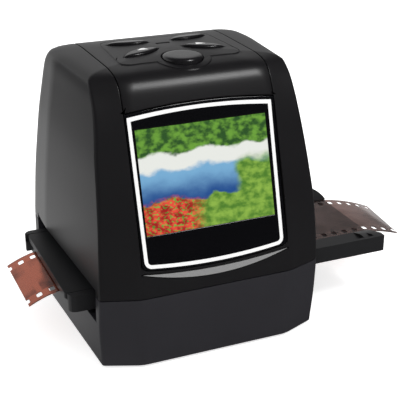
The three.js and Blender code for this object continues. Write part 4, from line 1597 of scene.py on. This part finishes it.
@dataclass
class FilmStrip:
    """The negative: flat in its channel, drooping at both ends, with round perforations."""

    tray_left: float = -50.6
    tray_right: float = 79.6
    left_reach: float = 11.8
    left_drop: float = 4.2
    right_reach: float = 22.0
    right_drop: float = 6.7
    middle_z: float = 22.125
    thickness: float = 0.25
    half_width: float = 17.5
    pitch: float = 4.75
    hole_x: float = 1.0
    hole_y: float = 1.4
    hole_place: float = 14.1
    hole_corner: float = 0.5
    inner_edge: float = 11.4
    skew: float = 7.0
    edge_points: int = 16
    inner_cells: int = 4

    def height(self, x: float) -> float:
        """The film's middle height at a place along it.

        Args:
            x: the place.

        Returns:
            Its height.
        """
        left = max((self.tray_left - x) / self.left_reach, 0)
        right = max((x - self.tray_right) / self.right_reach, 0)
        drop = self.left_drop * left * (1 + left) + self.right_drop * right * (1 + right)
        return self.middle_z - drop / 2

    def cell_edge(self) -> list[Point]:
        """Points round one cell, in shares from -1 to 1, anticlockwise from its corner.

        Returns:
            Sixteen points.
        """
        side = [-1.0, -0.5, 0.0, 0.5]
        half = [(s, -1.0) for s in side] + [(1.0, s) for s in side]
        return half + [(-u, -v) for u, v in half]

    def hole_edge(self) -> list[Point]:
        """Points round one perforation, each facing its own point of the cell's edge.

        Returns:
            Sixteen points.
        """
        x, y, r = self.hole_x, self.hole_y, self.hole_corner
        cut = r * (1 - math.sqrt(0.5))
        front = [(-x + cut, -y + cut), (-x + r, -y), (0.0, -y), (x - r, -y)]
        half = front + [(x - cut, -y + cut), (x, -y + r), (x, 0.0), (x, y - r)]
        return half + [(-u, -v) for u, v in half]

    def flat(self, left: float, count: int) -> Piece:
        """The flat strip, cell by cell, before its ends are cut.

        Args:
            left: the middle of the first cell.
            count: how many cells follow it.

        Returns:
            The sheet, its points not yet merged.
        """
        middle_y = (self.half_width + self.inner_edge) / 2
        half_x, half_y = self.pitch / 2, (self.half_width - self.inner_edge) / 2
        e, ring = self.inner_edge, self.edge_points
        points: list[Triple] = []
        faces: list[Sequence[int]] = []
        for x in (left + index * self.pitch for index in range(count + 1)):
            for sign in (-1, 1):
                start = len(points)
                points += [
                    (x + u * half_x, sign * (middle_y + v * half_y), 0) for u, v in self.cell_edge()
                ]
                points += [(x + u, sign * (self.hole_place + v), 0) for u, v in self.hole_edge()]
                for here in range(start, start + ring):
                    after = start + (here - start + 1) % ring
                    quad = (here, after, after + ring, here + ring)
                    faces.append(quad if sign > 0 else quad[::-1])
            for step in range(self.inner_cells):
                u0, u1 = (x + (-1 + 2 * s / self.inner_cells) * half_x for s in (step, step + 1))
                faces.append(range(len(points), len(points) + 4))
                points += [(u0, -e, 0), (u1, -e, 0), (u1, e, 0), (u0, e, 0)]
        return mesh_piece("film", points, faces)

    def build(self, finish: Material) -> None:
        """Makes the strip.

        Args:
            finish: its material.
        """
        left, right = self.tray_left - self.left_reach, self.tray_right + self.right_reach
        obj = self.flat(left, math.ceil((right - left) / self.pitch))
        edit_all(obj)
        bpy.ops.mesh.remove_doubles(threshold=0.01)
        slant = Vector((2 * self.half_width, -self.skew, 0)).normalized()
        for place, way in (((left, 0, 0), (-1, 0, 0)), ((right, self.half_width, 0), slant)):
            bpy.ops.mesh.select_all(action="SELECT")
            bpy.ops.mesh.bisect(plane_co=place, plane_no=way, clear_outer=True)
        leave_edit()
        for vertex in obj.data.vertices:
            vertex.co.z = self.height(vertex.co.x)
        thicken(obj, self.thickness, 0)
        shade(obj, CURVED)
        dress(obj, "film_negative", "carrier", finish, ["film_strip"])


@dataclass
class Carrier:
    """The tray, its lid and the film between them."""

    film: FilmStrip
    tray_rounding: float = 0.35
    lid_rounding: float = 0.3
    sharp: float = 28.0
    arc_steps: int = 16
    beyond: float = 1.5
    cut_high: float = 60.0
    round_corners: tuple[Triple, ...] = ((79.6, 30.0, 11.5), (-52.5, 30.0, 3.4))

    def corner_cut(self, x: float, y: float, radius: float) -> Piece:
        """What rounds one upright corner of the tray.

        Args:
            x: the corner's X.
            y: the corner's Y.
            radius: the rounding's radius.

        Returns:
            The cutting solid.
        """
        side_x, side_y = math.copysign(1, x), math.copysign(1, y)
        middle_x, middle_y = x - side_x * radius, y - side_y * radius
        angles = [math.pi / 2 * step / self.arc_steps for step in range(self.arc_steps + 1)]
        shares = [(radius * math.cos(a), radius * math.sin(a)) for a in angles]
        reach = radius + self.beyond
        shares += [(0, reach), (reach, reach), (reach, 0)]
        outline = [(middle_x + side_x * u, middle_y + side_y * v) for u, v in shares]
        return prism("corner", outline, 0, self.cut_high)

    def build(self, plastic: Material, negative: Material) -> None:
        """Makes the three pieces.

        Args:
            plastic: the tray's and the lid's material.
            negative: the film's material.
        """
        tray = node_copy("film_tray", "tray")
        for corner in self.round_corners:
            carve(tray, self.corner_cut(*corner))
        weld(tray, 0.01)
        lid = node_copy("film_lid", "lid")
        roundings = self.tray_rounding, self.lid_rounding
        for obj, part, width in zip((tray, lid), ("tray", "lid"), roundings):
            soften(obj, width, 3, self.sharp, clamp=True)
            dress(obj, f"carrier_{part}", "carrier", plastic, [f"film_{part}"])
        self.film.build(negative)


@dataclass
class Fittings:
    """Small rounded pieces on and in the housing, and the solids that keep their own shape."""

    sharp: float = 30.0
    rounded_nodes: tuple[tuple[str, str, float, str], ...] = (
        *((f"foot_{n}", f"foot_pad_{n}", 0.3, "foot_rubber") for n in range(1, 5)),
        *((f"{part}_socket", f"{part}_port", 0.2, "bright_metal") for part in ("usb", "card")),
        *((f"guide_rail_{n}", f"{n}_rail", 0.3, "inner_plastic") for n in ("front", "rear")),
    )

    def build(self, finishes: dict[str, Material]) -> None:
        """Rounds the small pieces and gives every node that still shows its finish.

        Args:
            finishes: a material for each of the record's slots.
        """
        for node, name, width, slot in self.rounded_nodes:
            obj = node_copy(node, name)
            soften(obj, width, 2, self.sharp, clamp=True)
            dress(obj, name, "housing", finishes[slot], [node])
        for row in frame["record"]["subparts"]:
            node = frame["nodes"][row["node"]]
            node.data.materials.clear()
            node.data.materials.append(finishes[row["material_slot"]])


def make_finishes() -> dict[str, Material]:
    """Makes all materials.

    Returns:
        One for each of the record's slots, and one for printed marks.
    """
    film_tones = (srgb(code) for code in ("ab5e48", "57291f", "a6857e", "765048"))
    white = srgb("efefe9")
    finishes = {
        "housing_plastic": Moulding("upper plastic", srgb("19181a"), 0.34),
        "base_plastic": Moulding("lower plastic", srgb("2c2b30"), 0.44),
        "carrier_plastic": Moulding("carrier plastic", srgb("222224"), 0.4),
        "key_plastic": Moulding("key plastic", srgb("1a191b"), 0.24, depth=0.02, coat=0.3),
        "screen_gloss": GlossBlack("window acrylic", srgb("0b0b0d")),
        "silver_trim": Moulding("silver paint", srgb("8f8f8f"), 0.4, 0.04, 4000, 0.03),
        "display": Landscape("lit picture"),
        "film": FilmBase("negative film", *film_tones),
        "foot_rubber": Moulding("foot rubber", srgb("151515"), 0.85, 0.2, 1500, 0.3),
        "inner_plastic": Moulding("inner plastic", srgb("1c1c1e"), 0.55),
        "white_plastic": Moulding("white plastic", white, 0.45, 0.03, 2500, 0.03, subsurface=0.1),
        "white_print": Moulding("white print", srgb("fafaf9"), 0.4, 0.01, 2500, 0.01),
        "circuit_board": CircuitBoard("circuit board", srgb("1f5a34")),
        "chip": Moulding("chip body", srgb("17171a"), 0.6, 0.15, 5000, 0.1),
        "bright_metal": BrushedMetal("nickel plate", srgb("c2c3c6")),
        "optical_glass": LensGlass("optical glass"),
    }
    return {slot: finish.make() for slot, finish in finishes.items()}


@dataclass
class Studio:
    """The pale floor, the soft lights and the camera, in metres, degrees and watts."""

    camera_place: Triple = (-0.1485, -0.3320, 0.1956)
    camera_turn: Triple = (66.78, 0.0, -23.11)
    focal_length: float = 89.19
    sensor_width: float = 36.0
    floor_size: float = 6.0
    floor_glow: float = 0.66
    front_level: float = 0.07
    back_level: float = 0.92
    far_level: float = 0.6
    top_level: float = 0.5
    plain_level: float = 0.82
    back_way: Triple = (-0.43, 0.9, 0.0)
    side_way: Triple = (3.2, 1.0, 0.0)
    lit_point: Triple = (0.0, 0.0, 0.05)
    lamps: tuple[tuple[str, Triple, float, float], ...] = (
        ("top softbox", (0.28, -0.4, 0.7), 0.2, 2.1),
        ("front softbox", (0.38, -0.75, 0.62), 0.6, 0.2),
    )

    def camera(self) -> None:
        """The photograph's camera."""
        data = bpy.data.cameras.new("camera")
        data.sensor_width = self.sensor_width
        data.lens = self.focal_length
        obj = linked("camera", data)
        obj.location = self.camera_place
        obj.rotation_euler = [math.radians(a) for a in self.camera_turn]
        bpy.context.scene.camera = obj

    def floor(self) -> None:
        """A white floor that keeps a soft shadow, and shows darker in the gloss of the front."""
        bpy.ops.object.select_all(action="DESELECT")
        bpy.ops.mesh.primitive_plane_add(size=self.floor_size)
        obj = bpy.context.active_object
        obj.name = "floor"
        sheet = NodeSheet(bpy.data.materials.new("floor paper"))
        path = sheet.add("LightPath").outputs
        seen = sheet.math("MAXIMUM", path["Is Camera Ray"], path["Is Transmission Ray"])
        place = sheet.place()
        paper = sheet.mix(sheet.noise(place, scale=300), (0.88, 0.88, 0.88), (0.9, 0.9, 0.9))
        diffuse = sheet.add("BsdfDiffuse", {"Color": paper})
        glow = sheet.add("Emission", {"Strength": sheet.math("MULTIPLY", seen, self.floor_glow)})
        both = sheet.add("AddShader", {0: diffuse.outputs[0], 1: glow.outputs[0]})
        back, side = sheet.along(place, self.back_way), sheet.along(place, self.side_way)
        near = sheet.math("MULTIPLY", sheet.step(side, -0.56, -0.06), sheet.step(back, -0.04, 0.06))
        far = sheet.spread(sheet.step(back, 0.16, 0.5), 1.0, self.far_level)
        pale = sheet.math("MULTIPLY", near, far)
        level = sheet.spread(pale, self.front_level, self.back_level)
        mirrored = sheet.add("Emission", {"Strength": level})
        parts = {0: path["Is Glossy Ray"], 1: both.outputs[0], 2: mirrored.outputs[0]}
        sheet.close(sheet.add("MixShader", parts))
        obj.data.materials.append(sheet.owner)

    def world(self) -> None:
        """White behind the object, plain grey light, and dark ahead of glossy surfaces."""
        world = bpy.data.worlds.new("studio")
        bpy.context.scene.world = world
        sheet = NodeSheet(world)
        path = sheet.add("LightPath").outputs
        way = sheet.add("TexCoord").outputs["Generated"]
        rise = sheet.add("SeparateXYZ", {0: way}).outputs[2]
        back = sheet.step(sheet.along(way, self.back_way), 0.0, 0.8)
        pale = sheet.math("MULTIPLY", back, sheet.step(rise, 0.85, 0.35))
        mirrored = sheet.math("MULTIPLY", pale, self.top_level)
        clear = sheet.math("MAXIMUM", path["Is Camera Ray"], path["Is Transmission Ray"])
        glossy = path["Is Glossy Ray"]
        seen = sheet.math("MAXIMUM", clear, sheet.math("MULTIPLY", glossy, mirrored))
        plain = sheet.math("SUBTRACT", 1.0, sheet.math("MAXIMUM", clear, glossy))
        level = sheet.math("ADD", seen, sheet.math("MULTIPLY", plain, self.plain_level))
        background = sheet.add("Background", {"Color": (1, 1, 1, 1), "Strength": level})
        sheet.close(background, "OutputWorld")

    def lamp(self, name: str, place: Triple, size: float, power: float) -> None:
        """A square soft light that faces the object.

        Args:
            name: the lamp's name.
            place: where it stands.
            size: its side.
            power: its power.
        """
        data = bpy.data.lights.new(name, "AREA")
        data.size = size
        data.energy = power
        obj = linked(name, data)
        obj.location = place
        way = Vector(self.lit_point) - Vector(place)
        obj.rotation_euler = way.to_track_quat("-Z", "Y").to_euler()

    def build(self) -> None:
        """Sets up the whole studio."""
        bpy.context.scene.view_settings.view_transform = "Standard"
        self.camera()
        self.floor()
        self.world()
        for lamp in self.lamps:
            self.lamp(*lamp)


def main() -> None:
    """Builds the scanner, piece by piece, and its studio."""
    logging.basicConfig(level=logging.INFO, format="%(message)s")
    finishes = make_finishes()
    form = HousingForm()
    screen = Screen(ScreenPlane())
    shells = Shells(form, screen)
    keys = TopKeys(form.surface())
    shells.lower(finishes["base_plastic"])
    body = shells.body()
    spare = linked("spare", body.data.copy())
    shells.upper(body, finishes["housing_plastic"])
    shells.strip(spare, keys.holes(), finishes["housing_plastic"])
    screen.window(finishes["screen_gloss"])
    screen.line(finishes["white_print"])
    screen.picture(finishes["display"])
    screen.crescent(form, finishes["silver_trim"])
    keys.build(finishes["key_plastic"], finishes["white_print"], finishes["screen_gloss"])
    Carrier(FilmStrip()).build(finishes["carrier_plastic"], finishes["film"])
    Fittings().build(finishes)
    Studio().build()


if __name__ == "__main__":
    main()
